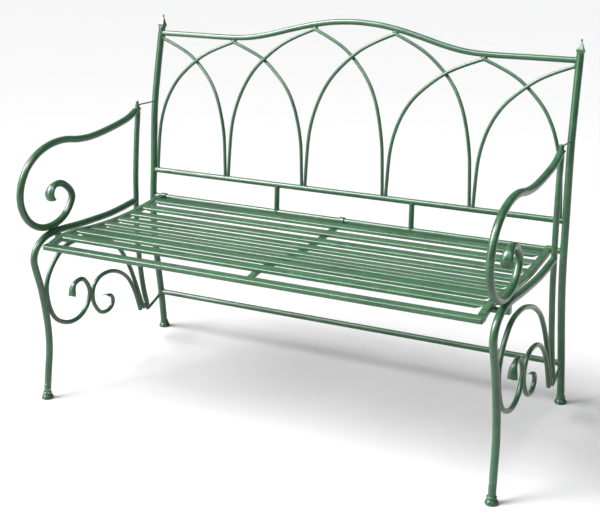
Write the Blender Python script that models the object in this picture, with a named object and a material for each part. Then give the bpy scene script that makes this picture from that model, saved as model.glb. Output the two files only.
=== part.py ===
"""Folding garden bench in welded steel tube. Units are metres, Z is up and the front faces -Y.

The back frame stands on two rear legs. A slatted seat hinges on its seat rail, and a scrolled side
frame, with an arm, a front leg and two scrolls, swings on a pintle and an eye beside each rear leg.
"""

import math

import bpy
import bmesh
from mathutils import Matrix, Vector

# Plan position of the whole bench: the drawing's depth axis starts at the middle of its overall depth.
DEPTH_CENTRE = 0.0062
HALF_SPAN = 0.635
GAP = 0.0003

# Bar and tube radii.
POST_RADIUS = 0.010
RAIL_RADIUS = 0.008
STRUT_RADIUS = 0.0075
ROD_RADIUS = 0.0048
ARM_RADIUS = 0.0095
UPRIGHT_RADIUS = 0.008
LARGE_SCROLL_RADIUS = 0.0065
SMALL_SCROLL_RADIUS = 0.006
TUBE_SIDES = 12
ROD_SIDES = 8

# Back frame heights. The height of every point in the back sets its depth, by this side outline (z, y).
BACK_OUTLINE = [
    (0.000, 0.287),
    (0.120, 0.277),
    (0.240, 0.262),
    (0.335, 0.254),
    (0.430, 0.257),
    (0.5125, 0.266),
    (0.630, 0.277),
    (0.715, 0.287),
    (0.820, 0.311),
    (0.920, 0.337),
    (1.000, 0.360),
]
CAP_HEIGHT = 0.020
POST_TOP = 0.931
STRETCHER_HEIGHT = 0.118
SEAT_RAIL_HEIGHT = 0.435
LOWER_RAIL_HEIGHT = 0.515
STRUT_OFFSET = 0.209

# Top rail, middle to end (x, z).
TOP_RAIL_OUTLINE = [
    (0.000, 0.985),
    (0.048, 0.983),
    (0.080, 0.980),
    (0.140, 0.9695),
    (0.202, 0.9545),
    (0.265, 0.938),
    (0.321, 0.927),
    (0.380, 0.922),
    (0.500, 0.922),
]
TOP_RAIL_END_HEIGHT = 0.922

# Arches: where pairs of rods stand, and how far apart the two rods of a pair are.
ROD_SPACING = 0.0052
INNER_BASE = 0.125
OUTER_BASE = 0.378
POST_BASE = 0.6195
INNER_APEX = (0.123, 0.9597)
OUTER_APEX = (0.382, 0.9093)
POST_APEX_HEIGHT = 0.9085
CROSSING_BOW = 0.0060
CROSSING_REACH = 0.060
ROD_STEPS = 16
# How far a rod has gone sideways (0 to 1) at each height (0 to 1).
ARCH_OUTLINE = [
    (0.000, 0.000),
    (0.012, 0.170),
    (0.030, 0.330),
    (0.080, 0.475),
    (0.155, 0.600),
    (0.265, 0.710),
    (0.430, 0.810),
    (0.610, 0.895),
    (0.810, 0.955),
    (1.000, 1.000),
]

# The upright line on which each side frame turns, and what holds it.
PIVOT_DEPTH = 0.196
PIN_RADIUS = 0.003
PIN_CLEARANCE = 0.00005
PIN_SIDES = 16
EYE_RADIUS = 0.007
STRAP_HALF_WIDTH = 0.0035
STRAP_BOTTOM = 0.7255
STRAP_TOP = 0.7290
NUT_RADIUS = 0.0065
NUT_TOP = 0.7405
PINTLE_RADIUS = 0.0045
PINTLE_TOP = 0.109
PINTLE_CORNER = 0.0865
BORE_TOP = 0.1115
UPRIGHT_BOTTOM = 0.0975

# Side frame outlines (y, z), from the upright outwards.
UPRIGHT_OUTLINE = [
    (0.196, 0.7195),
    (0.1955, 0.700),
    (0.187, 0.650),
    (0.179, 0.590),
    (0.171, 0.520),
    (0.167, 0.445),
    (0.163, 0.365),
    (0.170, 0.250),
    (0.182, 0.165),
    (0.190, 0.132),
    (0.196, 0.112),
    (0.196, UPRIGHT_BOTTOM),
]
ARM_OUTLINE = [
    (0.1870, 0.7130),
    (0.1490, 0.6990),
    (0.0900, 0.6895),
    (0.0000, 0.6820),
    (-0.0470, 0.6820),
    (-0.0970, 0.6875),
    (-0.1400, 0.6965),
    (-0.1870, 0.6990),
    (-0.2270, 0.6940),
    (-0.2700, 0.6800),
    (-0.3120, 0.6500),
    (-0.3380, 0.6050),
    (-0.3400, 0.5600),
    (-0.3160, 0.5135),
    (-0.2700, 0.4828),
    (-0.2170, 0.4760),
    (-0.1690, 0.4890),
    (-0.1395, 0.5160),
    (-0.1305, 0.5350),
    (-0.1385, 0.5550),
    (-0.1720, 0.5810),
    (-0.1980, 0.5830),
    (-0.2160, 0.5750),
    (-0.2235, 0.5620),
    (-0.2170, 0.5480),
]
LEG_OUTLINE = [
    (0.1580, 0.4440),
    (0.0870, 0.4395),
    (0.0310, 0.4385),
    (-0.0140, 0.4405),
    (-0.1120, 0.4475),
    (-0.1900, 0.4555),
    (-0.2300, 0.4560),
    (-0.2620, 0.4495),
    (-0.2920, 0.4310),
    (-0.3050, 0.4050),
    (-0.3020, 0.3810),
    (-0.2835, 0.3150),
    (-0.2690, 0.2260),
    (-0.2655, 0.1800),
    (-0.2670, 0.1330),
    (-0.2750, 0.0860),
    (-0.2870, CAP_HEIGHT + GAP),
]
LARGE_SCROLL_OUTLINE = [
    (0.1785, 0.0980),
    (0.1700, 0.1180),
    (0.1560, 0.1560),
    (0.1340, 0.2140),
    (0.1100, 0.2650),
    (0.0660, 0.3280),
    (0.0190, 0.3630),
    (-0.0220, 0.3830),
    (-0.0840, 0.4020),
    (-0.1310, 0.4060),
    (-0.1690, 0.4030),
    (-0.2040, 0.3880),
    (-0.2400, 0.3560),
    (-0.2603, 0.3200),
    (-0.2608, 0.2800),
    (-0.2480, 0.2360),
    (-0.2280, 0.2080),
    (-0.1915, 0.1860),
    (-0.1550, 0.1780),
    (-0.1190, 0.1840),
    (-0.0890, 0.2070),
    (-0.0772, 0.2350),
    (-0.0850, 0.2620),
    (-0.1060, 0.2850),
    (-0.1310, 0.2870),
    (-0.1500, 0.2770),
    (-0.1560, 0.2510),
]
SMALL_SCROLL_OUTLINE = [
    (0.1610, 0.0980),
    (0.1540, 0.1210),
    (0.1380, 0.1650),
    (0.1100, 0.2140),
    (0.0790, 0.2420),
    (0.0410, 0.2615),
    (0.0080, 0.2685),
    (-0.0260, 0.2670),
    (-0.0500, 0.2550),
    (-0.0630, 0.2360),
    (-0.0645, 0.2060),
    (-0.0510, 0.1790),
    (-0.0310, 0.1590),
    (0.0000, 0.1530),
    (0.0225, 0.1625),
    (0.0280, 0.1800),
    (0.0180, 0.1940),
    (-0.0060, 0.1980),
]
# Each free end is hammered flat: its half width, half thickness and the length that tapers.
ARM_END = (0.0200, 0.0025, 0.045)
LARGE_SCROLL_END = (0.0140, 0.0028, 0.035)
SMALL_SCROLL_END = (0.0110, 0.0026, 0.030)

# Feet.
FOOT_PROFILE = [(0.0165, 0.000), (0.0165, 0.004), (0.0148, 0.008), (0.0122, 0.013), (0.0114, CAP_HEIGHT)]
FRONT_FOOT_DEPTH = -0.287

# Finial sections: height above its foot, half width, and how square the section is (0 round, 1 square).
FINIAL_SECTIONS = [
    (0.0000, 0.0096, 0.0),
    (0.0120, 0.0090, 0.6),
    (0.0145, 0.0100, 1.0),
    (0.0175, 0.0100, 1.0),
    (0.0250, 0.0066, 1.0),
    (0.0360, 0.0030, 1.0),
]
FINIAL_HEIGHT = 0.0470

# Seat, with the height of its top surface (y, z).
SEAT_HINGE_DEPTH = 0.260
SEAT_OUTLINE = [
    (-0.2880, 0.4470),
    (-0.2259, 0.4570),
    (-0.1638, 0.4540),
    (-0.1017, 0.4460),
    (-0.0396, 0.4400),
    (0.0225, 0.4365),
    (0.0846, 0.4355),
    (0.1467, 0.4385),
    (0.2088, 0.4420),
    (0.2490, 0.4440),
]
SEAT_HALF_WIDTH = 0.607
SIDE_BAR_WIDTH = 0.019
SIDE_BAR_HEIGHT = 0.014
SIDE_BAR_STEPS = 14
CENTRE_BAR_WIDTH = 0.016
CENTRE_BAR_HEIGHT = 0.010
SLAT_COUNT = 8
SLAT_PITCH = 0.0621
FRONT_RAIL_DEPTH = -0.288
FRONT_RAIL_HALF_WIDTH = 0.014
FRONT_RAIL_HEIGHT = 0.013
FRONT_RAIL_CORNER = 0.005
CORNER_STEPS = 4
SLAT_HALF_WIDTH = 0.0155
SLAT_HEIGHT = 0.0105
SLAT_CROWN = 0.002
SLAT_WALL = 0.002
SLAT_END_CUT = 0.018
HINGE_OUTER_RADIUS = 0.011
HINGE_INNER_RADIUS = 0.0084

# Rests under the seat, on the side frames: inner end, depth and sizes.
REST_DEPTH = -0.200
REST_HALF_LENGTH = 0.009
REST_INNER = 0.594
REST_HEIGHT = 0.009
REST_STEM_HALF_WIDTH = 0.005
REST_PLAY = 0.001
SEAT_PLAY = 0.0055

X_AXIS = Vector((1, 0, 0))
Y_AXIS = Vector((0, 1, 0))


# --- curves ---------------------------------------------------------------------------------------


def smooth_value(knots, position):
    """The height of a smooth curve through (position, value) knots, found by cubic steps."""
    index = 0
    while index < len(knots) - 2 and position > knots[index + 1][0]:
        index += 1

    def slope(at):
        before = knots[max(at - 1, 0)]
        after = knots[min(at + 1, len(knots) - 1)]
        return (after[1] - before[1]) / (after[0] - before[0])

    left, right = knots[index], knots[index + 1]
    span = right[0] - left[0]
    t = (position - left[0]) / span
    rise = right[1] - left[1]
    start, end = slope(index) * span, slope(index + 1) * span
    return left[1] + t * (start + t * (3 * rise - 2 * start - end + t * (start + end - 2 * rise)))


def back_depth(height):
    return smooth_value(BACK_OUTLINE, height)


def seat_height(depth):
    return smooth_value(SEAT_OUTLINE, depth)


def spline(points, steps=8):
    """A dense smooth curve through the points (centripetal Catmull-Rom)."""
    padded = [2 * points[0] - points[1], *points, 2 * points[-1] - points[-2]]
    curve = [points[0].copy()]
    for p0, p1, p2, p3 in zip(padded, padded[1:], padded[2:], padded[3:]):
        t0 = 0.0
        t1 = t0 + math.sqrt((p1 - p0).length)
        t2 = t1 + math.sqrt((p2 - p1).length)
        t3 = t2 + math.sqrt((p3 - p2).length)
        for step in range(1, steps + 1):
            t = t1 + (t2 - t1) * step / steps
            a1 = p0.lerp(p1, (t - t0) / (t1 - t0))
            a2 = p1.lerp(p2, (t - t1) / (t2 - t1))
            a3 = p2.lerp(p3, (t - t2) / (t3 - t2))
            b1 = a1.lerp(a2, (t - t0) / (t2 - t0))
            b2 = a2.lerp(a3, (t - t1) / (t3 - t1))
            curve.append(b1.lerp(b2, (t - t1) / (t2 - t1)))
    return curve


def resample(curve, count):
    """Count steps along a dense curve, closer together where it turns."""
    lengths = [(b - a).length for a, b in zip(curve, curve[1:])]
    turns = [0.0]
    for a, b, c in zip(curve, curve[1:], curve[2:]):
        turns.append((b - a).angle(c - b))
    total_length = sum(lengths)
    total_turn = max(sum(turns), 0.01)
    gauge = [0.0]
    for length, turn in zip(lengths, turns):
        gauge.append(gauge[-1] + length / total_length + turn / total_turn)
    picked = [curve[0]]
    index = 0
    for step in range(1, count):
        target = gauge[-1] * step / count
        while gauge[index + 1] < target:
            index += 1
        share = (target - gauge[index]) / (gauge[index + 1] - gauge[index])
        picked.append(curve[index].lerp(curve[index + 1], share))
    picked.append(curve[-1])
    return picked


# --- meshes ---------------------------------------------------------------------------------------


def loft(rings, tip=None):
    """A closed mesh through rings of equal size. Its last ring is capped, or drawn to a tip."""
    mesh = bmesh.new()
    levels = [[mesh.verts.new(point) for point in ring] for ring in rings]
    mesh.faces.new(levels[0])
    for lower, upper in zip(levels, levels[1:]):
        for k in range(len(lower)):
            after = (k + 1) % len(lower)
            mesh.faces.new((lower[k], lower[after], upper[after], upper[k]))
    if tip is None:
        mesh.faces.new(levels[-1])
    else:
        top = mesh.verts.new(tip)
        for k in range(len(levels[-1])):
            mesh.faces.new((levels[-1][k], levels[-1][(k + 1) % len(levels[-1])], top))
    bmesh.ops.recalc_face_normals(mesh, faces=mesh.faces)
    return mesh


def tube_rings(path, radius, sides, start_normal=None, end_normal=None, flat_end=None):
    """Mitred rings along a path. An end normal sets the plane in which that end is cut."""
    directions = [(b - a).normalized() for a, b in zip(path, path[1:])]
    reference = X_AXIS if abs(directions[0].x) < 0.9 else Y_AXIS
    side = (reference - directions[0] * reference.dot(directions[0])).normalized()
    left_over = [0.0]
    for a, b in zip(reversed(path[:-1]), reversed(path[1:])):
        left_over.append(left_over[-1] + (b - a).length)
    left_over.reverse()
    rings = []
    for index, point in enumerate(path):
        incoming = directions[max(index - 1, 0)]
        outgoing = directions[min(index, len(directions) - 1)]
        normal = (incoming + outgoing).normalized()
        if index == 0 and start_normal:
            normal = start_normal
        if index == len(path) - 1 and end_normal:
            normal = end_normal
        width = height = radius
        if flat_end and left_over[index] < flat_end[2]:
            share = 1 - left_over[index] / flat_end[2]
            share = share * share * (3 - 2 * share)
            width += (flat_end[0] - radius) * share
            height += (flat_end[1] - radius) * share
        up = incoming.cross(side)
        ring = []
        for k in range(sides):
            angle = 2 * math.pi * k / sides
            offset = side * (width * math.cos(angle)) + up * (height * math.sin(angle))
            ring.append(point + offset - incoming * (offset.dot(normal) / incoming.dot(normal)))
        rings.append(ring)
        side = (side - outgoing * side.dot(outgoing)).normalized()
    return rings


def circle(centre, radius, sides):
    """A level ring of points about a vertical line."""
    steps = [2 * math.pi * k / sides for k in range(sides)]
    return [centre + Vector((radius * math.cos(a), radius * math.sin(a), 0)) for a in steps]


def turned(centre, profile, sides):
    """A solid of revolution from (radius, height) steps."""
    return loft([circle(centre + Vector((0, 0, z)), r, sides) for r, z in profile])


def box(low, high):
    """An upright box between two corners."""
    corners = [(low[0], low[1]), (high[0], low[1]), (high[0], high[1]), (low[0], high[1])]
    return loft([[Vector((x, y, z)) for x, y in corners] for z in (low[2], high[2])])


# --- objects --------------------------------------------------------------------------------------


def paint(name, colour, roughness):
    material = bpy.data.materials.new(name)
    material.use_nodes = True
    shader = material.node_tree.nodes["Principled BSDF"]
    shader.inputs["Base Color"].default_value = (*colour, 1)
    shader.inputs["Roughness"].default_value = roughness
    material.diffuse_color = (*colour, 1)
    return material


def add_empty(name, location, parent=None):
    empty = bpy.data.objects.new(name, None)
    empty.location = location
    empty.parent = parent
    empty.empty_display_size = 0.05
    bpy.context.scene.collection.objects.link(empty)
    return empty


def add_node(name, mesh, material, parent, origin, flat=False):
    """One named part. Its mesh is drawn in bench coordinates and stored about its parent's origin."""
    bmesh.ops.transform(mesh, matrix=Matrix.Translation(-origin), verts=mesh.verts)
    data = bpy.data.meshes.new(name)
    mesh.to_mesh(data)
    mesh.free()
    data.materials.append(material)
    node = bpy.data.objects.new(name, data)
    node.parent = parent
    bpy.context.scene.collection.objects.link(node)
    if not flat:
        data.shade_smooth()
        data.set_sharp_from_angle(angle=math.radians(50))
    return node


# --- back frame -----------------------------------------------------------------------------------


def back_point(x, z):
    return Vector((x, back_depth(z), z))


def post_mesh(sign):
    low = CAP_HEIGHT + GAP
    heights = [low + (POST_TOP - low) * k / 40 for k in range(41)]
    path = resample([back_point(sign * HALF_SPAN, z) for z in heights], 12)
    up = Vector((0, 0, 1))
    return loft(tube_rings(path, POST_RADIUS, TUBE_SIDES, start_normal=up))


def finial_mesh(sign):
    foot = back_point(sign * HALF_SPAN, POST_TOP)
    above = back_point(sign * HALF_SPAN, POST_TOP + 0.01)
    along = (above - foot).normalized()
    out = X_AXIS.cross(along)
    foot = foot + along * (2 * GAP)
    rings = []
    for height, half_width, squareness in FINIAL_SECTIONS:
        ring = []
        for k in range(8):
            angle = math.pi * k / 4
            reach = half_width
            if k % 2:
                reach *= 1 + squareness * (math.sqrt(2) - 1)
            offset = X_AXIS * math.cos(angle) + out * math.sin(angle)
            ring.append(foot + along * height + offset * reach)
        rings.append(ring)
    return loft(rings, tip=foot + along * FINIAL_HEIGHT)


def top_rail_mesh():
    end = (HALF_SPAN - POST_RADIUS - GAP, TOP_RAIL_END_HEIGHT)
    half = [*TOP_RAIL_OUTLINE, end]
    outline = [(-x, z) for x, z in reversed(half[1:])] + half
    curve = spline([Vector((x, 0, z)) for x, z in outline])
    path = [back_point(p.x, p.z) for p in resample(curve, 28)]
    return loft(tube_rings(path, RAIL_RADIUS, TUBE_SIDES, start_normal=X_AXIS, end_normal=X_AXIS))


def level_rail_mesh(depth, height):
    end = HALF_SPAN - POST_RADIUS - GAP
    path = [Vector((-end, depth, height)), Vector((end, depth, height))]
    return loft(tube_rings(path, RAIL_RADIUS, TUBE_SIDES))


def strut_mesh(sign):
    low = SEAT_RAIL_HEIGHT + RAIL_RADIUS + GAP
    high = LOWER_RAIL_HEIGHT - RAIL_RADIUS - GAP
    x = sign * STRUT_OFFSET
    foot = Vector((x, SEAT_HINGE_DEPTH, low))
    top = Vector((x, back_depth(LOWER_RAIL_HEIGHT), high))
    up = Vector((0, 0, 1))
    return loft(tube_rings([foot, top], STRUT_RADIUS, TUBE_SIDES, start_normal=up, end_normal=up))


def arch_curve(base_x, apex_x, apex_z):
    """The front view of a rod from the lower rail to its apex."""
    base_z = LOWER_RAIL_HEIGHT + RAIL_RADIUS + GAP
    points = []
    for across, up in ARCH_OUTLINE:
        x = base_x + (apex_x - base_x) * across
        points.append(Vector((x, 0, base_z + (apex_z - base_z) * up)))
    return spline(points)


def arch_mesh(curve, other_curve, bow):
    """A rod of the back. It bows by half its width, away from the rod that it crosses."""
    crossing = min(curve, key=lambda p: min((p - q).length for q in other_curve))
    path = []
    for point in resample(curve, ROD_STEPS):
        offset = bow * math.exp(-(((point - crossing).length / CROSSING_REACH) ** 2))
        path.append(Vector((point.x, back_depth(point.z) + offset, point.z)))
    up = Vector((0, 0, 1))
    return loft(tube_rings(path, ROD_RADIUS, ROD_SIDES, start_normal=up, end_normal=X_AXIS))


def arch_rods():
    """(front view, bow) of the ten rods, left to right. Each crosses the rod two or three along."""
    post_side = HALF_SPAN - POST_RADIUS - GAP
    tops = [
        (-post_side, POST_APEX_HEIGHT),
        (-OUTER_APEX[0], OUTER_APEX[1]),
        (-INNER_APEX[0], INNER_APEX[1]),
        INNER_APEX,
        OUTER_APEX,
        (post_side, POST_APEX_HEIGHT),
    ]
    bases = [-POST_BASE, -OUTER_BASE, -INNER_BASE, INNER_BASE, OUTER_BASE, POST_BASE]
    rods = []
    for k, base in enumerate(bases):
        if k > 0:
            spread = ROD_SPACING if k < 5 else 0
            x, z = tops[k - 1]
            rods.append((arch_curve(base - spread, x + (GAP if k > 1 else 0), z), CROSSING_BOW))
        if k < 5:
            spread = ROD_SPACING if k > 0 else 0
            x, z = tops[k + 1]
            rods.append((arch_curve(base + spread, x - (GAP if k < 4 else 0), z), -CROSSING_BOW))
    return rods


# --- what the side frames turn on -----------------------------------------------------------------


def pivot_link_mesh(sign):
    """A strap from the post with an eye round the pin."""
    centre = Vector((sign * HALF_SPAN, PIVOT_DEPTH, 0))
    hole_radius = (PIN_RADIUS + PIN_CLEARANCE) / math.cos(math.pi / PIN_SIDES)
    strap_end = back_depth(STRAP_BOTTOM) - POST_RADIUS - 2 * GAP - PIVOT_DEPTH
    inner, outer = [], []
    for k in range(PIN_SIDES):
        angle = 2 * math.pi * k / PIN_SIDES
        away = Vector((math.cos(angle), math.sin(angle), 0))
        inner.append(centre + away * hole_radius)
        reach = away * EYE_RADIUS
        if away.y > 0.9:
            reach = Vector((math.copysign(STRAP_HALF_WIDTH, away.x) if abs(away.x) > 0.1 else 0, strap_end, 0))
        elif away.y > 0.7:
            reach.x = math.copysign(STRAP_HALF_WIDTH, away.x)
        outer.append(centre + reach)
    low, high = Vector((0, 0, STRAP_BOTTOM)), Vector((0, 0, STRAP_TOP))
    rings = [
        [p + low for p in inner],
        [p + low for p in outer],
        [p + high for p in outer],
        [p + high for p in inner],
    ]
    mesh = bmesh.new()
    levels = [[mesh.verts.new(point) for point in ring] for ring in rings]
    for level, following in zip(levels, levels[1:] + levels[:1]):
        for k in range(PIN_SIDES):
            after = (k + 1) % PIN_SIDES
            mesh.faces.new((level[k], level[after], following[after], following[k]))
    bmesh.ops.recalc_face_normals(mesh, faces=mesh.faces)
    return mesh


def pivot_bar_mesh(sign):
    """A bar from the post, bent up at its end into the pintle."""
    x = sign * HALF_SPAN
    start = Vector((x, back_depth(STRETCHER_HEIGHT) - POST_RADIUS - 2 * GAP, STRETCHER_HEIGHT - 0.006))
    corner = Vector((x, PIVOT_DEPTH, PINTLE_CORNER))
    top = Vector((x, PIVOT_DEPTH, PINTLE_TOP))
    return loft(tube_rings([start, corner, top], PINTLE_RADIUS, TUBE_SIDES, start_normal=Y_AXIS))


def pivot_pin_mesh(sign):
    centre = Vector((sign * HALF_SPAN, PIVOT_DEPTH, 0))
    low = UPRIGHT_OUTLINE[0][1] + GAP
    levels = [centre + Vector((0, 0, z)) for z in (low, STRAP_TOP + GAP)]
    steps = [2 * math.pi * k / PIN_SIDES for k in range(PIN_SIDES)]
    spread = [Vector((math.cos(a), math.sin(a), 0)) * PIN_RADIUS for a in steps]
    return loft([[level + away for away in spread] for level in levels])


def pivot_nut_mesh(sign):
    centre = Vector((sign * HALF_SPAN, PIVOT_DEPTH, 0))
    low = STRAP_TOP + 2 * GAP
    middle = (low + NUT_TOP) / 2
    half = (NUT_TOP - low) / 2
    profile = []
    for k in range(7):
        angle = math.radians(-60 + 20 * k)
        height = middle + half * math.sin(angle) / math.sin(math.radians(60))
        profile.append((NUT_RADIUS * math.cos(angle), height))
    return turned(centre, profile, TUBE_SIDES)


# --- side frames ----------------------------------------------------------------------------------


def side_path(sign, outline, count):
    curve = spline([Vector((sign * HALF_SPAN, y, z)) for y, z in outline])
    return resample(curve, count)


def upright_mesh(sign):
    """The upright, with a blind hole in its foot for the pintle."""
    path = side_path(sign, UPRIGHT_OUTLINE, 16)
    up = Vector((0, 0, 1))
    rings = tube_rings(path, UPRIGHT_RADIUS, TUBE_SIDES, start_normal=up, end_normal=up)
    foot = Vector((sign * HALF_SPAN, PIVOT_DEPTH, 0))
    bore_radius = PINTLE_RADIUS + GAP
    share = bore_radius / UPRIGHT_RADIUS
    mouth = [foot.lerp(Vector((p.x, p.y, 0)), share) for p in rings[-1]]
    rings.append([p + Vector((0, 0, UPRIGHT_BOTTOM)) for p in mouth])
    rings.append([p + Vector((0, 0, BORE_TOP)) for p in mouth])
    return loft(rings)


def front_cap_mesh(sign):
    return turned(Vector((sign * HALF_SPAN, FRONT_FOOT_DEPTH, 0)), FOOT_PROFILE, 16)


def rear_cap_mesh(sign):
    return turned(Vector((sign * HALF_SPAN, back_depth(0), 0)), FOOT_PROFILE, 16)


def seat_rest_mesh(sign):
    """A stem under the leg tube with a foot that reaches in under the seat's side bar."""
    top = seat_height(REST_DEPTH) - SIDE_BAR_HEIGHT - SEAT_PLAY
    low = top - REST_HEIGHT
    leg_height = max(z for y, z in LEG_OUTLINE if y < REST_DEPTH)
    stem_top = leg_height - ARM_RADIUS - REST_PLAY
    stem_in = HALF_SPAN - REST_STEM_HALF_WIDTH
    stem_out = HALF_SPAN + REST_STEM_HALF_WIDTH
    outline = [
        (REST_INNER, low),
        (stem_out, low),
        (stem_out, stem_top),
        (stem_in, stem_top),
        (stem_in, top),
        (REST_INNER, top),
    ]
    rings = []
    for depth in (REST_DEPTH - REST_HALF_LENGTH, REST_DEPTH + REST_HALF_LENGTH):
        rings.append([Vector((sign * x, depth, z)) for x, z in outline])
    return loft(rings)


# --- seat -----------------------------------------------------------------------------------------


def swept_bar_mesh(inner, outer, start, end, drop, height):
    """A flat bar that follows the seat's outline, its top a given drop below it."""
    rings = []
    for k in range(SIDE_BAR_STEPS + 1):
        y = start + (end - start) * k / SIDE_BAR_STEPS
        top = seat_height(y) - drop
        corners = [(inner, top - height), (outer, top - height), (outer, top), (inner, top)]
        rings.append([Vector((x, y, z)) for x, z in corners])
    return loft(rings)


def crowned_section(half_width, height, crown):
    """Half-width, height and crown give the (y, z) outline of a bar, about the middle of its top."""
    shoulder = half_width * 0.8
    return [
        (-half_width, -height),
        (-half_width, -2 * crown),
        (-shoulder, -0.6 * crown),
        (0, 0),
        (shoulder, -0.6 * crown),
        (half_width, -2 * crown),
        (half_width, -height),
    ]


def front_rail_mesh():
    back = FRONT_RAIL_DEPTH + FRONT_RAIL_HALF_WIDTH
    section = crowned_section(FRONT_RAIL_HALF_WIDTH, FRONT_RAIL_HEIGHT, 0.0012)
    top = seat_height(FRONT_RAIL_DEPTH)
    half = []
    for k in range(CORNER_STEPS + 1):
        angle = math.pi / 2 * k / CORNER_STEPS
        x = SEAT_HALF_WIDTH - FRONT_RAIL_CORNER * (1 - math.sin(angle))
        half.append((x, FRONT_RAIL_CORNER * (1 - math.cos(angle))))
    stations = [(-x, cut) for x, cut in reversed(half)] + half
    rings = []
    for x, cut in stations:
        share = 1 - cut / (2 * FRONT_RAIL_HALF_WIDTH)
        ring = []
        for y, z in section:
            depth = back + (FRONT_RAIL_DEPTH + y - back) * share
            ring.append(Vector((x, depth, top + z)))
        rings.append(ring)
    return loft(rings)


def slat_mesh(index):
    """A pressed slat with turned-down edges, whose ends are cut back below."""
    depth = FRONT_RAIL_DEPTH + SLAT_PITCH * (SLAT_COUNT + 1 - index)
    reach = 0.01
    tilt = math.atan((seat_height(depth + reach) - seat_height(depth - reach)) / (2 * reach))
    turn = Matrix.Rotation(tilt, 3, "X")
    top = Vector((0, depth, seat_height(depth)))
    outer = crowned_section(SLAT_HALF_WIDTH, SLAT_HEIGHT, SLAT_CROWN)
    inner_half = SLAT_HALF_WIDTH - SLAT_WALL
    inner = [(inner_half, -SLAT_HEIGHT), (inner_half, -2.2 * SLAT_CROWN), (0, -SLAT_WALL)]
    inner += [(-inner_half, -2.2 * SLAT_CROWN), (-inner_half, -SLAT_HEIGHT)]
    end = SEAT_HALF_WIDTH - SIDE_BAR_WIDTH - GAP
    mesh = bmesh.new()
    levels = []
    for sign in (-1, 1):
        level = []
        for y, z in outer + inner:
            x = sign * (end - SLAT_END_CUT if z == -SLAT_HEIGHT else end)
            level.append(mesh.verts.new(top + turn @ Vector((x, y, z))))
        levels.append(level)
        # The end's web, then the two slanting edges of its flanges.
        mesh.faces.new([level[k] for k in (1, 2, 3, 9, 10)])
        mesh.faces.new([level[k] for k in (3, 4, 5, 8, 9)])
        mesh.faces.new([level[k] for k in (0, 1, 10, 11)])
        mesh.faces.new([level[k] for k in (5, 6, 7, 8)])
    for k in range(len(levels[0])):
        after = (k + 1) % len(levels[0])
        mesh.faces.new((levels[0][k], levels[0][after], levels[1][after], levels[1][k]))
    bmesh.ops.recalc_face_normals(mesh, faces=mesh.faces)
    return mesh


def hinge_mesh(x, half_width):
    """A loop round the seat rail."""
    centre = Vector((0, SEAT_HINGE_DEPTH, SEAT_RAIL_HEIGHT))
    sides = 16
    rings = []
    for side, radius in ((-1, HINGE_INNER_RADIUS), (-1, HINGE_OUTER_RADIUS), (1, HINGE_OUTER_RADIUS), (1, HINGE_INNER_RADIUS)):
        ring = []
        for k in range(sides):
            angle = 2 * math.pi * (k + 0.5) / sides
            away = Vector((0, math.cos(angle), math.sin(angle))) * radius
            ring.append(centre + away + X_AXIS * (x + side * half_width))
        rings.append(ring)
    mesh = bmesh.new()
    levels = [[mesh.verts.new(point) for point in ring] for ring in rings]
    for level, following in zip(levels, levels[1:] + levels[:1]):
        for k in range(sides):
            after = (k + 1) % sides
            mesh.faces.new((level[k], level[after], following[after], following[k]))
    bmesh.ops.recalc_face_normals(mesh, faces=mesh.faces)
    return mesh


# --- the bench ------------------------------------------------------------------------------------


def clear_scene():
    for old in list(bpy.data.objects):
        bpy.data.objects.remove(old)


def build_back(material, root):
    origin = Vector((0, 0, 0))
    for side, sign in (("left", -1), ("right", 1)):
        add_node(f"back_post_{side}", post_mesh(sign), material, root, origin)
        add_node(f"finial_{side}", finial_mesh(sign), material, root, origin, flat=True)
        add_node(f"rear_foot_cap_{side}", rear_cap_mesh(sign), material, root, origin)
        add_node(f"back_strut_{side}", strut_mesh(sign), material, root, origin)
        add_node(f"pivot_link_{side}", pivot_link_mesh(sign), material, root, origin, flat=True)
        add_node(f"pivot_bar_{side}", pivot_bar_mesh(sign), material, root, origin)
    add_node("top_rail", top_rail_mesh(), material, root, origin)
    lower_depth = back_depth(LOWER_RAIL_HEIGHT)
    stretcher_depth = back_depth(STRETCHER_HEIGHT)
    add_node("lower_back_rail", level_rail_mesh(lower_depth, LOWER_RAIL_HEIGHT), material, root, origin)
    add_node("rear_seat_rail", level_rail_mesh(SEAT_HINGE_DEPTH, SEAT_RAIL_HEIGHT), material, root, origin)
    add_node("back_stretcher", level_rail_mesh(stretcher_depth, STRETCHER_HEIGHT), material, root, origin)
    rods = arch_rods()
    for first in range(0, len(rods), 2):
        # A rod that leans right crosses the next one that leans left.
        for index, partner in ((first, first + 1), (first + 1, first)):
            curve, bow = rods[index]
            mesh = arch_mesh(curve, rods[partner][0], bow)
            add_node(f"arch_rod_{index + 1}", mesh, material, root, origin)


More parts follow.
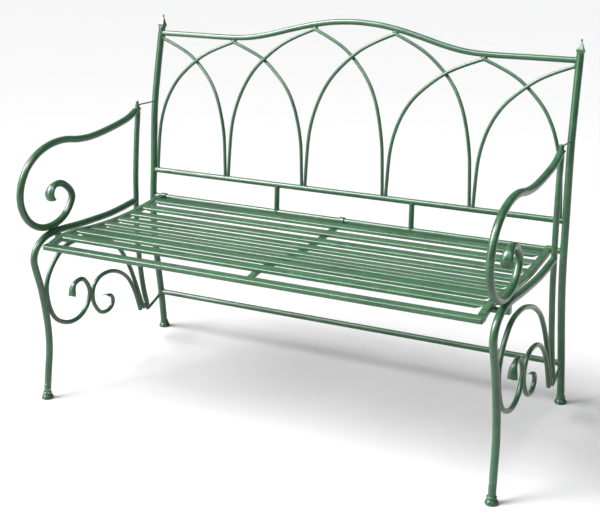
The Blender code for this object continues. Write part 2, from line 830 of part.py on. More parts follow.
def build_side(side, sign, material, root):
    origin = Vector((sign * HALF_SPAN, PIVOT_DEPTH, 0))
    axis = add_empty(f"side_frame_axis_{side}", origin, root)
    add_node(f"rear_upright_{side}", upright_mesh(sign), material, axis, origin)
    curves = [
        ("arm_tube", ARM_OUTLINE, 40, ARM_RADIUS, ARM_END),
        ("leg_tube", LEG_OUTLINE, 26, ARM_RADIUS, None),
        ("large_scroll", LARGE_SCROLL_OUTLINE, 38, LARGE_SCROLL_RADIUS, LARGE_SCROLL_END),
        ("small_scroll", SMALL_SCROLL_OUTLINE, 30, SMALL_SCROLL_RADIUS, SMALL_SCROLL_END),
    ]
    for name, outline, count, radius, flat_end in curves:
        start_normal = Vector((0, 1, 0)) if name in ("arm_tube", "leg_tube") else Vector((0, 0, 1))
        end_normal = Vector((0, 0, 1)) if name == "leg_tube" else None
        path = side_path(sign, outline, count)
        sides = TUBE_SIDES if radius == ARM_RADIUS else ROD_SIDES
        rings = tube_rings(path, radius, sides, start_normal, end_normal, flat_end)
        add_node(f"{name}_{side}", loft(rings), material, axis, origin)
    add_node(f"front_foot_cap_{side}", front_cap_mesh(sign), material, axis, origin)
    add_node(f"seat_rest_{side}", seat_rest_mesh(sign), material, axis, origin, flat=True)
    add_node(f"pivot_pin_{side}", pivot_pin_mesh(sign), material, axis, origin)
    add_node(f"pivot_nut_{side}", pivot_nut_mesh(sign), material, axis, origin)


def build_seat(material, root):
    origin = Vector((0, SEAT_HINGE_DEPTH, SEAT_RAIL_HEIGHT))
    axis = add_empty("seat_axis", origin, root)
    front = FRONT_RAIL_DEPTH + FRONT_RAIL_HALF_WIDTH + GAP
    rear = SEAT_HINGE_DEPTH - HINGE_OUTER_RADIUS - GAP
    add_node("seat_front_rail", front_rail_mesh(), material, axis, origin)
    inner = SEAT_HALF_WIDTH - SIDE_BAR_WIDTH
    for side, sign in (("left", -1), ("right", 1)):
        bar = swept_bar_mesh(sign * inner, sign * SEAT_HALF_WIDTH, front, rear, 0, SIDE_BAR_HEIGHT)
        add_node(f"seat_side_bar_{side}", bar, material, axis, origin)
        middle = sign * (inner + SEAT_HALF_WIDTH) / 2
        add_node(f"seat_hinge_{side}", hinge_mesh(middle, SIDE_BAR_WIDTH / 2), material, axis, origin)
    half = CENTRE_BAR_WIDTH / 2
    bar = swept_bar_mesh(-half, half, front, rear, SLAT_HEIGHT + 2 * GAP, CENTRE_BAR_HEIGHT)
    add_node("seat_centre_bar", bar, material, axis, origin)
    add_node("seat_hinge_centre", hinge_mesh(0, half), material, axis, origin)
    for index in range(1, SLAT_COUNT + 1):
        add_node(f"seat_slat_{index}", slat_mesh(index), material, axis, origin)


def main():
    clear_scene()
    green = paint("green_paint", (0.075, 0.235, 0.125), 0.42)
    root = add_empty("bench", Vector((0, -DEPTH_CENTRE, 0)))
    build_back(green, root)
    for side, sign in (("left", -1), ("right", 1)):
        build_side(side, sign, green, root)
    build_seat(green, root)


main()
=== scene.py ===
"""The looks of the folding garden bench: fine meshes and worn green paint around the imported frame.

Units are metres, or millimetres inside metres(), in the bench's own frame: Z is up and the front faces
-Y. Outlines are drawn about the same depth line as the solids and moved by DEPTH_CENTRE.
"""

import math

import bpy
import bmesh
from mathutils import Matrix, Vector, noise


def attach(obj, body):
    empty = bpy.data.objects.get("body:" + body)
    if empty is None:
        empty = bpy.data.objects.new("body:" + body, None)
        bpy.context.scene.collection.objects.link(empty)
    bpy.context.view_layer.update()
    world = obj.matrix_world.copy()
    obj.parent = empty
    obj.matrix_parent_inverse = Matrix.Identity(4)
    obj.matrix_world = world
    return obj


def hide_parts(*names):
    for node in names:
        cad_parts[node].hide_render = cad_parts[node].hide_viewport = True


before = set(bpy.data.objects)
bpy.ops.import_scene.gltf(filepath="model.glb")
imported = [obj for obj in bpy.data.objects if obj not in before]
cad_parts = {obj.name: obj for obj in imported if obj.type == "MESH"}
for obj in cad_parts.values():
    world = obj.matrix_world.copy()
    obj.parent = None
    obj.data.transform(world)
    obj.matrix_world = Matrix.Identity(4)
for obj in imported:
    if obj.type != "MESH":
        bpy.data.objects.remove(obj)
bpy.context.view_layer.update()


def metres(*points):
    """Points that are written in millimetres."""
    return [tuple(value / 1000 for value in point) for point in points]


DEPTH_CENTRE = 0.0062
HALF_SPAN = 0.635

POST_RADIUS = 0.01
RAIL_RADIUS = 0.008
STRUT_RADIUS = 0.0075
ROD_RADIUS = 0.0048
ARM_RADIUS = 0.0095
UPRIGHT_RADIUS = 0.008
LARGE_SCROLL_RADIUS = 0.0065
SMALL_SCROLL_RADIUS = 0.006

# Points round each tube and each turned part.
TUBE_SIDES = 28
ROD_SIDES = 20
LINK_SIDES = 20
PINTLE_SIDES = 22
ARM_SIDES = 36
CURVED_SIDES = 32
TURNED_SIDES = 40
PIN_SIDES = 24
COLLAR_SIDES = 28
HEAD_SIDES = 32
FINIAL_SIDES = 48

# Distances between the rings along each tube.
LEVEL_STEP = 0.02
TOP_RAIL_STEP = 0.006
ROD_STEP = 0.005
TUBE_STEP = 0.004
SCROLL_STEP = 0.0035
PINTLE_STEP = 0.0025

# Rounds of smoothing for the curves through drawn points.
TOP_RAIL_ROUNDS = 12
ARCH_ROUNDS = 16
SIDE_ROUNDS = 14
SIDE_SPLINE_STEPS = 16

# How far a tube runs into the one that it is welded to.
BURY = 0.004
POST_BURY = 0.003
BAR_BURY = 0.001

# Angle in degrees between two faces above which their edge looks sharp.
FINIAL_SHARP = 28
TUBE_SHARP = 35
BAR_SHARP = 40
FITTING_SHARP = 50
WELD_SHARP = 60
BEVEL_ANGLE = 30
BEVEL_SEGMENTS = 3

# Beads of weld metal: thickness at each joint, points along and round them, and how uneven they are.
LINK_BEAD = 0.0011
ROD_BEAD = 0.0013
RAIL_BEAD = 0.0014
TOP_RAIL_BEAD = 0.0015
BEAD_STEPS = 36
BEAD_SIDES = 10
BEAD_LUMP = 0.28
BEAD_NOISE_SCALE = 420
STRUT_WELD_SHARE = 0.98

# Blobs of weld metal: half sizes, and how uneven they are.
CROSSING_WELD = (0.0042, 0.004, 0.0042)
APEX_WELD = (0.0095, 0.0052, 0.0052)
APEX_WELD_RISE = 0.0035
ARCH_END_WELD = (0.0035, 0.0058, 0.0062)
SLAT_WELD = (0.003, 0.0095, 0.0024)
SLAT_WELD_DROP = 0.0062
BLOB_SUBDIVISIONS = 3
BLOB_LUMP = 0.16
BLOB_NOISE_SCALE = 1.9
BLOB_SEED_SHIFT = 0.37

# Side outline of the back (z, y).
BACK_OUTLINE = metres(
    (0, 287), (120, 277), (240, 262), (335, 254), (430, 257), (512.5, 266), (630, 277), (715, 287),
    (820, 311), (920, 337), (1000, 360),
)
POST_FOOT = 0.012
POST_TOP = 0.931
POST_STEPS = 90
STRETCHER_HEIGHT = 0.118
SEAT_RAIL_HEIGHT = 0.435
LOWER_RAIL_HEIGHT = 0.515
STRUT_OFFSET = 0.209

# Top rail, middle to end (x, z).
TOP_RAIL_OUTLINE = metres(
    (0, 985), (48, 983), (80, 980), (140, 969.5), (202, 954.5), (265, 938), (321, 927), (380, 922),
    (500, 922),
)

# Arches.
ROD_SPACING = 0.0052
INNER_BASE = 0.125
OUTER_BASE = 0.378
POST_BASE = 0.6195
INNER_APEX = (0.123, 0.9597)
OUTER_APEX = (0.382, 0.9093)
POST_APEX_HEIGHT = 0.9085
CROSSING_BOW = 0.0048
CROSSING_REACH = 0.06
ARCH_OUTLINE = [
    (0.000, 0.000), (0.012, 0.17), (0.03, 0.33), (0.08, 0.475), (0.155, 0.6), (0.265, 0.71),
    (0.43, 0.81), (0.61, 0.895), (0.81, 0.955), (1.000, 1.000),
]

# Pivots of the side frames.
PIVOT_DEPTH = 0.196
PIN_RADIUS = 0.003
PIN_PLAY = 0.0003
PIN_BOTTOM = 0.714
PIN_RISE = 0.002
STRAP_BOTTOM = 0.7255
STRAP_TOP = 0.729
EYE_RADIUS = 0.0072
EYE_EDGE = 0.0008
HOLE_EDGE = 0.0004
LINK_RADIUS = 0.0021
LINK_FALL = 0.0045
LINK_BURY = 0.0012
PINTLE_RADIUS = 0.0045
PINTLE_PLAY = 0.0006
PINTLE_CORNER = 0.0865
PINTLE_TOP = 0.1085
PINTLE_BEND = 0.01
PINTLE_BEND_STEPS = 8
PINTLE_START_DROP = 0.006
PINTLE_WELD_DROP = 0.004
UPRIGHT_BORE_DEPTH = 0.013

# The bolt's collar (radius, height), and its two heads (radius, height above HEAD_PLAY over the eye).
COLLAR_PROFILE = [(0.0066, 0.7175), (0.0066, 0.7235), (0.0058, 0.7245), (0.0034, 0.7248)]
HEAD_PLAY = 0.0006
NUT_COLLAR = [(0.0036, 0.0), (0.0036, 0.0008), (0.0026, 0.0016)]
NUT_RADIUS = 0.005
NUT_CENTRE = 0.006
NUT_STEPS = 12
CAP_PROFILE = [
    (0.0068, 0.0), (0.0071, 0.0006), (0.0071, 0.002), (0.0064, 0.0029), (0.0045, 0.0035),
    (0.0015, 0.0038),
]

# Side frame outlines (y, z).
UPRIGHT_OUTLINE = metres(
    (196, 715), (195.5, 700), (187, 650), (179, 590), (171, 520), (167, 445), (163, 365), (170, 250),
    (182, 165), (190, 132), (196, 112), (196, 97.5),
)
UPRIGHT_BOTTOM = UPRIGHT_OUTLINE[-1][1]
ARM_OUTLINE = metres(
    (202, 716.5), (187, 713), (149, 699), (90, 689.5), (0, 682), (-47, 682), (-97, 687.5),
    (-140, 696.5), (-187, 699), (-227, 694), (-270, 680), (-312, 650), (-338, 605), (-340, 560),
    (-316, 513.5), (-270, 482.8), (-217, 476), (-169, 489), (-139.5, 516), (-130.5, 535), (-138.5, 555),
    (-172, 581), (-198, 583), (-216, 575), (-223.5, 562), (-217, 548),
)
LEG_OUTLINE = metres(
    (164, 444), (87, 439.5), (31, 438.5), (-14, 440.5), (-112, 447.5), (-190, 455.5), (-230, 456),
    (-262, 449.5), (-292, 431), (-305, 405), (-302, 381), (-283.5, 315), (-269, 226), (-265.5, 180),
    (-267, 133), (-275, 86), (-287, 15),
)
LARGE_SCROLL_OUTLINE = metres(
    (178.5, 98), (170, 118), (156, 156), (134, 214), (110, 265), (66, 328), (19, 363), (-22, 383),
    (-84, 402), (-131, 406), (-169, 403), (-204, 388), (-240, 356), (-260.3, 320), (-260.8, 280),
    (-248, 236), (-228, 208), (-191.5, 186), (-155, 178), (-119, 184), (-89, 207), (-77.2, 235),
    (-85, 262), (-106, 285), (-131, 287), (-150, 277), (-156, 251),
)
SMALL_SCROLL_OUTLINE = metres(
    (161, 98), (154, 121), (138, 165), (110, 214), (79, 242), (41, 261.5), (8, 268.5), (-26, 267),
    (-50, 255), (-63, 236), (-64.5, 206), (-51, 179), (-31, 159), (0, 153), (22.5, 162.5), (28, 180),
    (18, 194), (-6, 198),
)
# Free ends are pressed into a trough that opens inwards: half width, half thickness, length.
ARM_END = (0.0165, 0.0085, 0.065)
LARGE_SCROLL_END = (0.013, 0.0062, 0.05)
SMALL_SCROLL_END = (0.0105, 0.0056, 0.04)
TROUGH_WALL = 0.0016
# How much of a trough's length the painted shade in its hollow takes, and how far up its sides it reaches.
HOLLOW_SHARE = 0.55
HOLLOW_EDGE = 0.1
# The way a path bends is read from its last step and from this many steps before its end.
BEND_STEPS = 6
# The arm's other end is flattened into a tab under the eye.
ARM_TAB = (0.01, 0.0034, 0.02)

# Welds of a side frame: depth, height and half sizes.
SIDE_WELDS = [
    (-0.212, 0.4662, (0.005, 0.013, 0.0032)),
    (-0.2675, 0.3, (0.0042, 0.0032, 0.012)),
    (-0.0708, 0.223, (0.004, 0.003, 0.011)),
    (0.188, 0.108, (0.0045, 0.005, 0.0085)),
    (0.17, 0.1085, (0.0042, 0.005, 0.008)),
    (0.158, 0.443, (0.0088, 0.0045, 0.01)),
    (0.188, 0.706, (0.0075, 0.006, 0.007)),
]

FOOT_PROFILE = metres(
    (15, 0), (16.3, 1), (16.5, 2.8), (16, 5), (14.6, 8.2), (12.8, 10.8), (11.4, 12.4), (10.9, 13.8),
    (11.8, 15.2), (12.2, 17), (11.8, 18.8), (10.4, 20),
)
FRONT_FOOT_DEPTH = -0.287

# Finial: height, half width, and how square the section is.
SQUARE_POWER = 14
FINIAL_SLOPE_REACH = 0.01
FINIAL_SECTIONS = [
    (-0.003, 0.0098, 0.00), (0.002, 0.0097, 0.00), (0.0085, 0.0094, 0.35), (0.0122, 0.0089, 0.8),
    (0.0138, 0.0099, 0.94), (0.0165, 0.0101, 0.96), (0.0178, 0.0094, 0.96), (0.0215, 0.0078, 0.96),
    (0.029, 0.0052, 0.96), (0.0365, 0.0029, 0.92), (0.0395, 0.002, 0.7), (0.042, 0.0025, 0.3),
    (0.0445, 0.0025, 0.2), (0.0462, 0.0014, 0.00),
]

# Seat.
SEAT_HINGE_DEPTH = 0.26
SEAT_OUTLINE = metres(
    (-288, 447), (-225.9, 457), (-163.8, 454), (-101.7, 446), (-39.6, 440), (22.5, 436.5),
    (84.6, 435.5), (146.7, 438.5), (208.8, 442), (249, 444),
)
SEAT_HALF_WIDTH = 0.607
SIDE_BAR_WIDTH = 0.019
SIDE_BAR_HEIGHT = 0.014
SIDE_BAR_EDGE = 0.002
SIDE_BAR_CROWN = 0.0008
CENTRE_BAR_WIDTH = 0.016
CENTRE_BAR_HEIGHT = 0.01
CENTRE_BAR_EDGE = 0.0015
CENTRE_BAR_GAP = 0.0004
BAR_STEPS = 48
EDGE_STEPS = 5
TOP_STEPS = 8
SLAT_COUNT = 8
SLAT_PITCH = 0.0621
FRONT_RAIL_DEPTH = -0.288
FRONT_RAIL_HALF_WIDTH = 0.014
FRONT_RAIL_HEIGHT = 0.013
FRONT_RAIL_CORNER = 0.005
FRONT_RAIL_EDGE = 0.0022
FRONT_RAIL_CROWN = 0.0012
FRONT_CORNER_STEPS = 8
FRONT_STRAIGHT_STEPS = 30
SLAT_HALF_WIDTH = 0.0155
SLAT_HEIGHT = 0.0105
SLAT_WALL = 0.0016
SLAT_EDGE = 0.0032
SLAT_CROWN = 0.0016
SLAT_KNEE = 0.7
SLAT_EDGE_STEPS = 6
SLAT_TOP_STEPS = 12
SLAT_STEPS = 24
SLAT_SLOPE_REACH = 0.01
# A slat's ends are cut slanting below this depth, and run this far into the side bars.
SLAT_CUT_START = 0.0035
SLAT_END_CUT = 0.018
SLAT_END_OVERLAP = 0.0004
HINGE_OUTER_RADIUS = 0.011
HINGE_INNER_RADIUS = 0.0084
HINGE_EDGE = 0.0008
HINGE_SIDES = 40
REST_DEPTH = -0.2
REST_HALF_LENGTH = 0.009
REST_INNER = 0.594
REST_HEIGHT = 0.009
REST_PLAY = 0.0055
REST_STEM_HALF = 0.005
REST_STEM_BURY = 0.002
REST_BEVEL = 0.0012

# The camera, in the drawing's frame, with its angles in degrees.
CAMERA_POSITION = (1.3991, -2.6636, 1.4399)
CAMERA_YAW = -27.145
CAMERA_PITCH = -13.835
CAMERA_ROLL = -0.689
CAMERA_LENS = 72.15
CAMERA_SENSOR = 36
CAMERA_SHIFT = (-0.01587, -0.19167)

FLOOR_HALF_SIDE = 30
FLOOR_COLOUR = (0.45, 0.45, 0.45, 1)
SKY_COLOUR = (0.96, 0.98, 1.0, 1)
SKY_STRENGTH = 0.15

X_AXIS = Vector((1, 0, 0))
Y_AXIS = Vector((0, 1, 0))
Z_AXIS = Vector((0, 0, 1))
SIDES = (("left", -1), ("right", 1))


# --- curves ---


def at(x, y, z):
    """A drawn point, moved into the bench's frame."""
    return Vector((x, y - DEPTH_CENTRE, z))


def smooth_value(knots, position):
    """The height of a smooth curve through (position, value) knots."""
    index = 0
    while index < len(knots) - 2 and position > knots[index + 1][0]:
        index += 1

    def slope(where):
        before = knots[max(where - 1, 0)]
        after = knots[min(where + 1, len(knots) - 1)]
        return (after[1] - before[1]) / (after[0] - before[0])

    left, right = knots[index], knots[index + 1]
    span = right[0] - left[0]
    t = (position - left[0]) / span
    rise = right[1] - left[1]
    start, end = slope(index) * span, slope(index + 1) * span
    return left[1] + t * (start + t * (3 * rise - 2 * start - end + t * (start + end - 2 * rise)))


def back_depth(height):
    return smooth_value(BACK_OUTLINE, height)


def back_point(x, z):
    return at(x, back_depth(z), z)


def seat_height(depth):
    return smooth_value(SEAT_OUTLINE, depth)


def spline(points, steps=12):
    """A dense smooth curve through the points (centripetal Catmull-Rom)."""
    padded = [2 * points[0] - points[1], *points, 2 * points[-1] - points[-2]]
    curve = [points[0].copy()]
    for p0, p1, p2, p3 in zip(padded, padded[1:], padded[2:], padded[3:]):
        t1 = math.sqrt((p1 - p0).length)
        t2 = t1 + math.sqrt((p2 - p1).length)
        t3 = t2 + math.sqrt((p3 - p2).length)
        for step in range(1, steps + 1):
            t = t1 + (t2 - t1) * step / steps
            a1 = p0.lerp(p1, t / t1)
            a2 = p1.lerp(p2, (t - t1) / (t2 - t1))
            a3 = p2.lerp(p3, (t - t2) / (t3 - t2))
            b1 = a1.lerp(a2, t / t2)
            b2 = a2.lerp(a3, (t - t1) / (t3 - t1))
            curve.append(b1.lerp(b2, (t - t1) / (t2 - t1)))
    return curve


def relaxed(curve, rounds):
    """The curve with small kinks smoothed out, its ends kept."""
    for _ in range(rounds):
        inner = [(a + 2 * b + c) / 4 for a, b, c in zip(curve, curve[1:], curve[2:])]
        curve = [curve[0], *inner, curve[-1]]
    return curve


def resample(curve, spacing):
    """Points at even distances along a dense curve."""
    lengths = [(b - a).length for a, b in zip(curve, curve[1:])]
    count = max(2, round(sum(lengths) / spacing))
    step = sum(lengths) / count
    picked = [curve[0]]
    index, passed = 0, 0.0
    for k in range(1, count):
        while passed + lengths[index] < k * step:
            passed += lengths[index]
            index += 1
        picked.append(curve[index].lerp(curve[index + 1], (k * step - passed) / lengths[index]))
    picked.append(curve[-1])
    return picked


# --- meshes ---


def add_loft(mesh, rings, closed=False):
    """Quads through rings of equal size, capped at both ends or joined round to the first ring."""
    levels = [[mesh.verts.new(point) for point in ring] for ring in rings]
    faces = []
    followers = levels[1:] + (levels[:1] if closed else [])
    for lower, upper in zip(levels, followers):
        for k in range(len(lower)):
            after = (k + 1) % len(lower)
            faces.append(mesh.faces.new((lower[k], lower[after], upper[after], upper[k])))
    if not closed:
        faces.append(mesh.faces.new(list(reversed(levels[0]))))
        faces.append(mesh.faces.new(levels[-1]))
    bmesh.ops.recalc_face_normals(mesh, faces=faces)
    return levels


def bend_sign(path):
    """Which way a path in a side plane bends at its end, 1 or -1, about X."""
    last = (path[-1] - path[-2]).normalized()
    earlier = (path[-BEND_STEPS] - path[-BEND_STEPS - 1]).normalized()
    return math.copysign(1, (last - earlier).dot(last.cross(X_AXIS)))


def add_trough_tube(mesh, path, radius, sides, ends, start_normal=None):
    """A tube whose last end is a trough. The trough's hollow takes the second material, a dark green that is
    painted shade.
    """
    rings = tube_rings(path, radius, sides, start_normal, ends=ends, trough=True)
    levels = add_loft(mesh, rings)
    hollow = set()
    inside = bend_sign(path)
    remaining = 0.0
    for index in range(len(path) - 1, 0, -1):
        if remaining > ends[1][2] * HOLLOW_SHARE:
            break
        remaining += (path[index] - path[index - 1]).length
        for k in range(sides):
            if math.sin(2 * math.pi * k / sides) * inside > HOLLOW_EDGE:
                hollow.add(levels[index][k])
    # The hollow's faces take the painted shade.
    for face in mesh.faces:
        if all(vert in hollow for vert in face.verts):
            face.material_index = 1


def eased(share):
    """A share from 0 to 1 that starts and ends gently."""
    return share * share * (3 - 2 * share)


def tube_rings(
    path, radius, sides=TUBE_SIDES, start_normal=None, end_normal=None, ends=(None, None), trough=False
):
    """Rings along a path. Each of the two ends may taper to (half width, half thickness, length).

    A trough presses the side of the last end that faces the inside of its bend into the other side.
    """
    directions = [(b - a).normalized() for a, b in zip(path, path[1:])]
    runs_across = abs(directions[0].x) > max(abs(directions[0].y), abs(directions[0].z))
    reference = Y_AXIS if runs_across else X_AXIS
    side = (reference - directions[0] * reference.dot(directions[0])).normalized()
    travelled = [0.0]
    for a, b in zip(path, path[1:]):
        travelled.append(travelled[-1] + (b - a).length)
    inside = bend_sign(path) * math.copysign(1, side.x) if trough else 1
    rings = []
    for index, point in enumerate(path):
        incoming = directions[max(index - 1, 0)]
        outgoing = directions[min(index, len(directions) - 1)]
        normal = (incoming + outgoing).normalized()
        if index == 0 and start_normal:
            normal = start_normal
        if index == len(path) - 1 and end_normal:
            normal = end_normal
        width = height = radius
        remaining = travelled[-1] - travelled[index]
        for end, distance in zip(ends, (travelled[index], remaining)):
            if end and distance < end[2]:
                share = eased(1 - distance / end[2])
                width += (end[0] - radius) * share
                height += (end[1] - radius) * share
        up = incoming.cross(side)
        pressed = 0
        if trough and remaining < ends[1][2]:
            pressed = eased(1 - remaining / ends[1][2])
        ring = []
        for k in range(sides):
            angle = 2 * math.pi * k / sides
            rise = height * math.sin(angle)
            if rise * inside > 0:
                rise *= 1 - pressed * (2 - TROUGH_WALL / height)
            offset = side * (width * math.cos(angle)) + up * rise
            ring.append(point + offset - incoming * (offset.dot(normal) / incoming.dot(normal)))
        rings.append(ring)
        side = (side - outgoing * side.dot(outgoing)).normalized()
    return rings


def circle(centre, radius, sides, across=X_AXIS, along=Y_AXIS):
    steps = [2 * math.pi * k / sides for k in range(sides)]
    return [centre + across * (radius * math.cos(a)) + along * (radius * math.sin(a)) for a in steps]


def add_turned(mesh, centre, profile, sides=TURNED_SIDES, closed=False):
    """A solid of revolution about a vertical line from (radius, height) steps."""
    rings = [circle(centre + Z_AXIS * z, r, sides) for r, z in profile]
    add_loft(mesh, rings, closed=closed)


def add_blob(mesh, centre, radii, seed):
    """A lumpy closed bead of weld metal."""
    made = bmesh.ops.create_icosphere(mesh, subdivisions=BLOB_SUBDIVISIONS, radius=1.0)
    for vert in made["verts"]:
        shift = Vector((seed, BLOB_SEED_SHIFT * seed, 0))
        lump = 1 + BLOB_LUMP * noise.noise(vert.co * BLOB_NOISE_SCALE + shift)
        vert.co = centre + Vector([c * r * lump for c, r in zip(vert.co, radii)])


def add_saddle_weld(mesh, foot, out, along, inner, outer, bead, seed):
    """A bead round a bar of the inner radius, where it leaves a tube of the outer radius.

    foot is on the tube's axis, out is the bar's way out and along is the tube's.
    """
    across = out.cross(along)
    rings = []
    for k in range(BEAD_STEPS):
        angle = 2 * math.pi * k / BEAD_STEPS
        drop = inner * math.sin(angle)
        rise = math.sqrt(max(outer * outer - drop * drop, 0))
        radial = along * math.cos(angle) + across * math.sin(angle)
        centre = foot + out * rise + radial * inner
        size = bead * (1 + BEAD_LUMP * noise.noise(centre * BEAD_NOISE_SCALE + Vector((seed, 0, 0))))
        rings.append(circle(centre, size, BEAD_SIDES, radial, out))
    add_loft(mesh, rings, closed=True)


def placed(name, data):
    """A new object in the scene."""
    made = bpy.data.objects.new(name, data)
    bpy.context.scene.collection.objects.link(made)
    return made


def finished(name, mesh, material):
    """A new object in the scene from a mesh that has been built."""
    data = bpy.data.meshes.new(name)
    mesh.to_mesh(data)
    mesh.free()
    data.materials.append(material)
    return placed(name, data)


def add_piece(name, mesh, body, nodes, material, sharp=TUBE_SHARP, bevel=None):
    """A finished piece that rides on a body and stands for CAD nodes, or for none if it is a weld."""
    piece = finished(name, mesh, material)
    piece.data.shade_smooth()
    piece.data.set_sharp_from_angle(angle=math.radians(sharp))
    if bevel:
        rounding = piece.modifiers.new("rounding", "BEVEL")
        rounding.width = bevel
        rounding.segments = BEVEL_SEGMENTS
        rounding.limit_method = "ANGLE"
        rounding.angle_limit = math.radians(BEVEL_ANGLE)
    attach(piece, body)
    if nodes:
        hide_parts(*nodes)
    return piece


def add_lofted_piece(name, body, node, rings, material, closed=False, **looks):
    mesh = bmesh.new()
    add_loft(mesh, rings, closed)
    add_piece(name, mesh, body, (node,), material, **looks)


def add_tube_piece(name, body, node, path, radius, material, **options):
    add_lofted_piece(name, body, node, tube_rings(path, radius, **options), material)


# --- materials ---


# The sockets of a colour mix node: its share, its two colours and its result.
MIX_COLOUR_INPUTS = (0, 6, 7)
MIX_COLOUR_OUTPUT = 2


class Nodes:
    """Short names for making shader nodes and linking their sockets."""

    def __init__(self, material):
        self.tree = material.node_tree

    def put(self, socket, value):
        """Links a socket to another one, or sets its value."""
        if isinstance(value, bpy.types.NodeSocket):
            self.tree.links.new(value, socket)
        elif isinstance(value, tuple):
            socket.default_value = (*value, 1)
        else:
            socket.default_value = value

    def add(self, kind, **inputs):
        node = self.tree.nodes.new(kind)
        for key, value in inputs.items():
            self.put(node.inputs[key], value)
        return node

    def math(self, operation, first, second, clamp=False):
        node = self.tree.nodes.new("ShaderNodeMath")
        node.operation = operation
        node.use_clamp = clamp
        for socket, value in zip(node.inputs, (first, second)):
            self.put(socket, value)
        return node.outputs[0]

    def span(self, value, low, high, to_low=0.0, to_high=1.0):
        node = self.tree.nodes.new("ShaderNodeMapRange")
        self.tree.links.new(value, node.inputs["Value"])
        node.inputs["From Min"].default_value = low
        node.inputs["From Max"].default_value = high
        node.inputs["To Min"].default_value = to_low
        node.inputs["To Max"].default_value = to_high
        return node.outputs["Result"]

    def mix(self, share, first, second):
        node = self.tree.nodes.new("ShaderNodeMix")
        node.data_type = "RGBA"
        for index, value in zip(MIX_COLOUR_INPUTS, (share, first, second)):
            self.put(node.inputs[index], value)
        return node.outputs[MIX_COLOUR_OUTPUT]

    def noise(self, position, scale, detail=4.0, stretch=(1, 1, 1), roughness=0.55):
        mapping = self.add("ShaderNodeMapping", Vector=position)
        mapping.inputs["Scale"].default_value = stretch
        made = self.add("ShaderNodeTexNoise", Vector=mapping.outputs[0])
        made.inputs["Scale"].default_value = scale
        made.inputs["Detail"].default_value = detail
        made.inputs["Roughness"].default_value = roughness
        return made.outputs["Fac"]


GREEN = (0.016, 0.072, 0.028)
GREEN_LIGHT = (0.028, 0.1, 0.044)
GREEN_DEEP = (0.009, 0.046, 0.017)
DUST = (0.062, 0.096, 0.064)
PRIMER = (0.62, 0.64, 0.58)
RUST = (0.05, 0.03, 0.018)

# Noise scales of the paint, and the part of each noise that turns one thing into the next.
BROAD_SCALE = 9
BROAD_RANGE = (0.35, 0.65)
CLOUDY_SCALE = 55
CLOUDY_RANGE = (0.45, 0.72)
CLOUDY_LIGHT = 0.55
FINE_SCALE = 420
FINE_RANGE = (0.55, 0.8)
FINE_LIGHT = 0.25
# Dust lies on what faces up, in patches, and makes the paint rougher.
UPWARD_RANGE = (0.25, 0.95)
DUST_RANGE = (0.32, 0.62)
DUST_ROUGHNESS = 0.35
PAINT_ROUGHNESS = (0.27, 0.38)
ROUGHNESS_RANGE = (0.3, 0.7)
# Streaks along X, and shorter scuffs.
STREAK_SCALE = 60
STREAK_STRETCH = (0.035, 1.6, 1.6)
STREAK_RANGE = (0.42, 0.68)
SCUFF_SCALE = 190
SCUFF_STRETCH = (0.02, 1.4, 1.4)
SCUFF_RANGE = (0.5, 0.72)
SCUFF_SHARE = 0.6
# Chips: bare primer inside a wider rim of rust, between the foot's flare and a height.
FLAKE_SCALE = 230
FLAKE_STRETCH = (1, 1, 0.6)
FLAKE_GRAIN = 0.7
PATCH_SCALE = 42
BARE_RANGES = ((0.585, 0.61), (0.48, 0.56))
RIM_RANGES = ((0.55, 0.575), (0.47, 0.55))
RIM_DEPTH = 0.8
CHIP_FADE = 0.35
CHIP_LOW_RANGE = (0.01, 0.02)
# Relief of the paint film.
FINE_RELIEF = 0.35
CLOUDY_RELIEF = 0.65
HAMMER_SCALE = 95
BUMP_STRENGTH = 0.22
BUMP_DISTANCE = 0.0009
SPECULAR = 0.55
COAT = 0.25
COAT_ROUGHNESS = 0.14


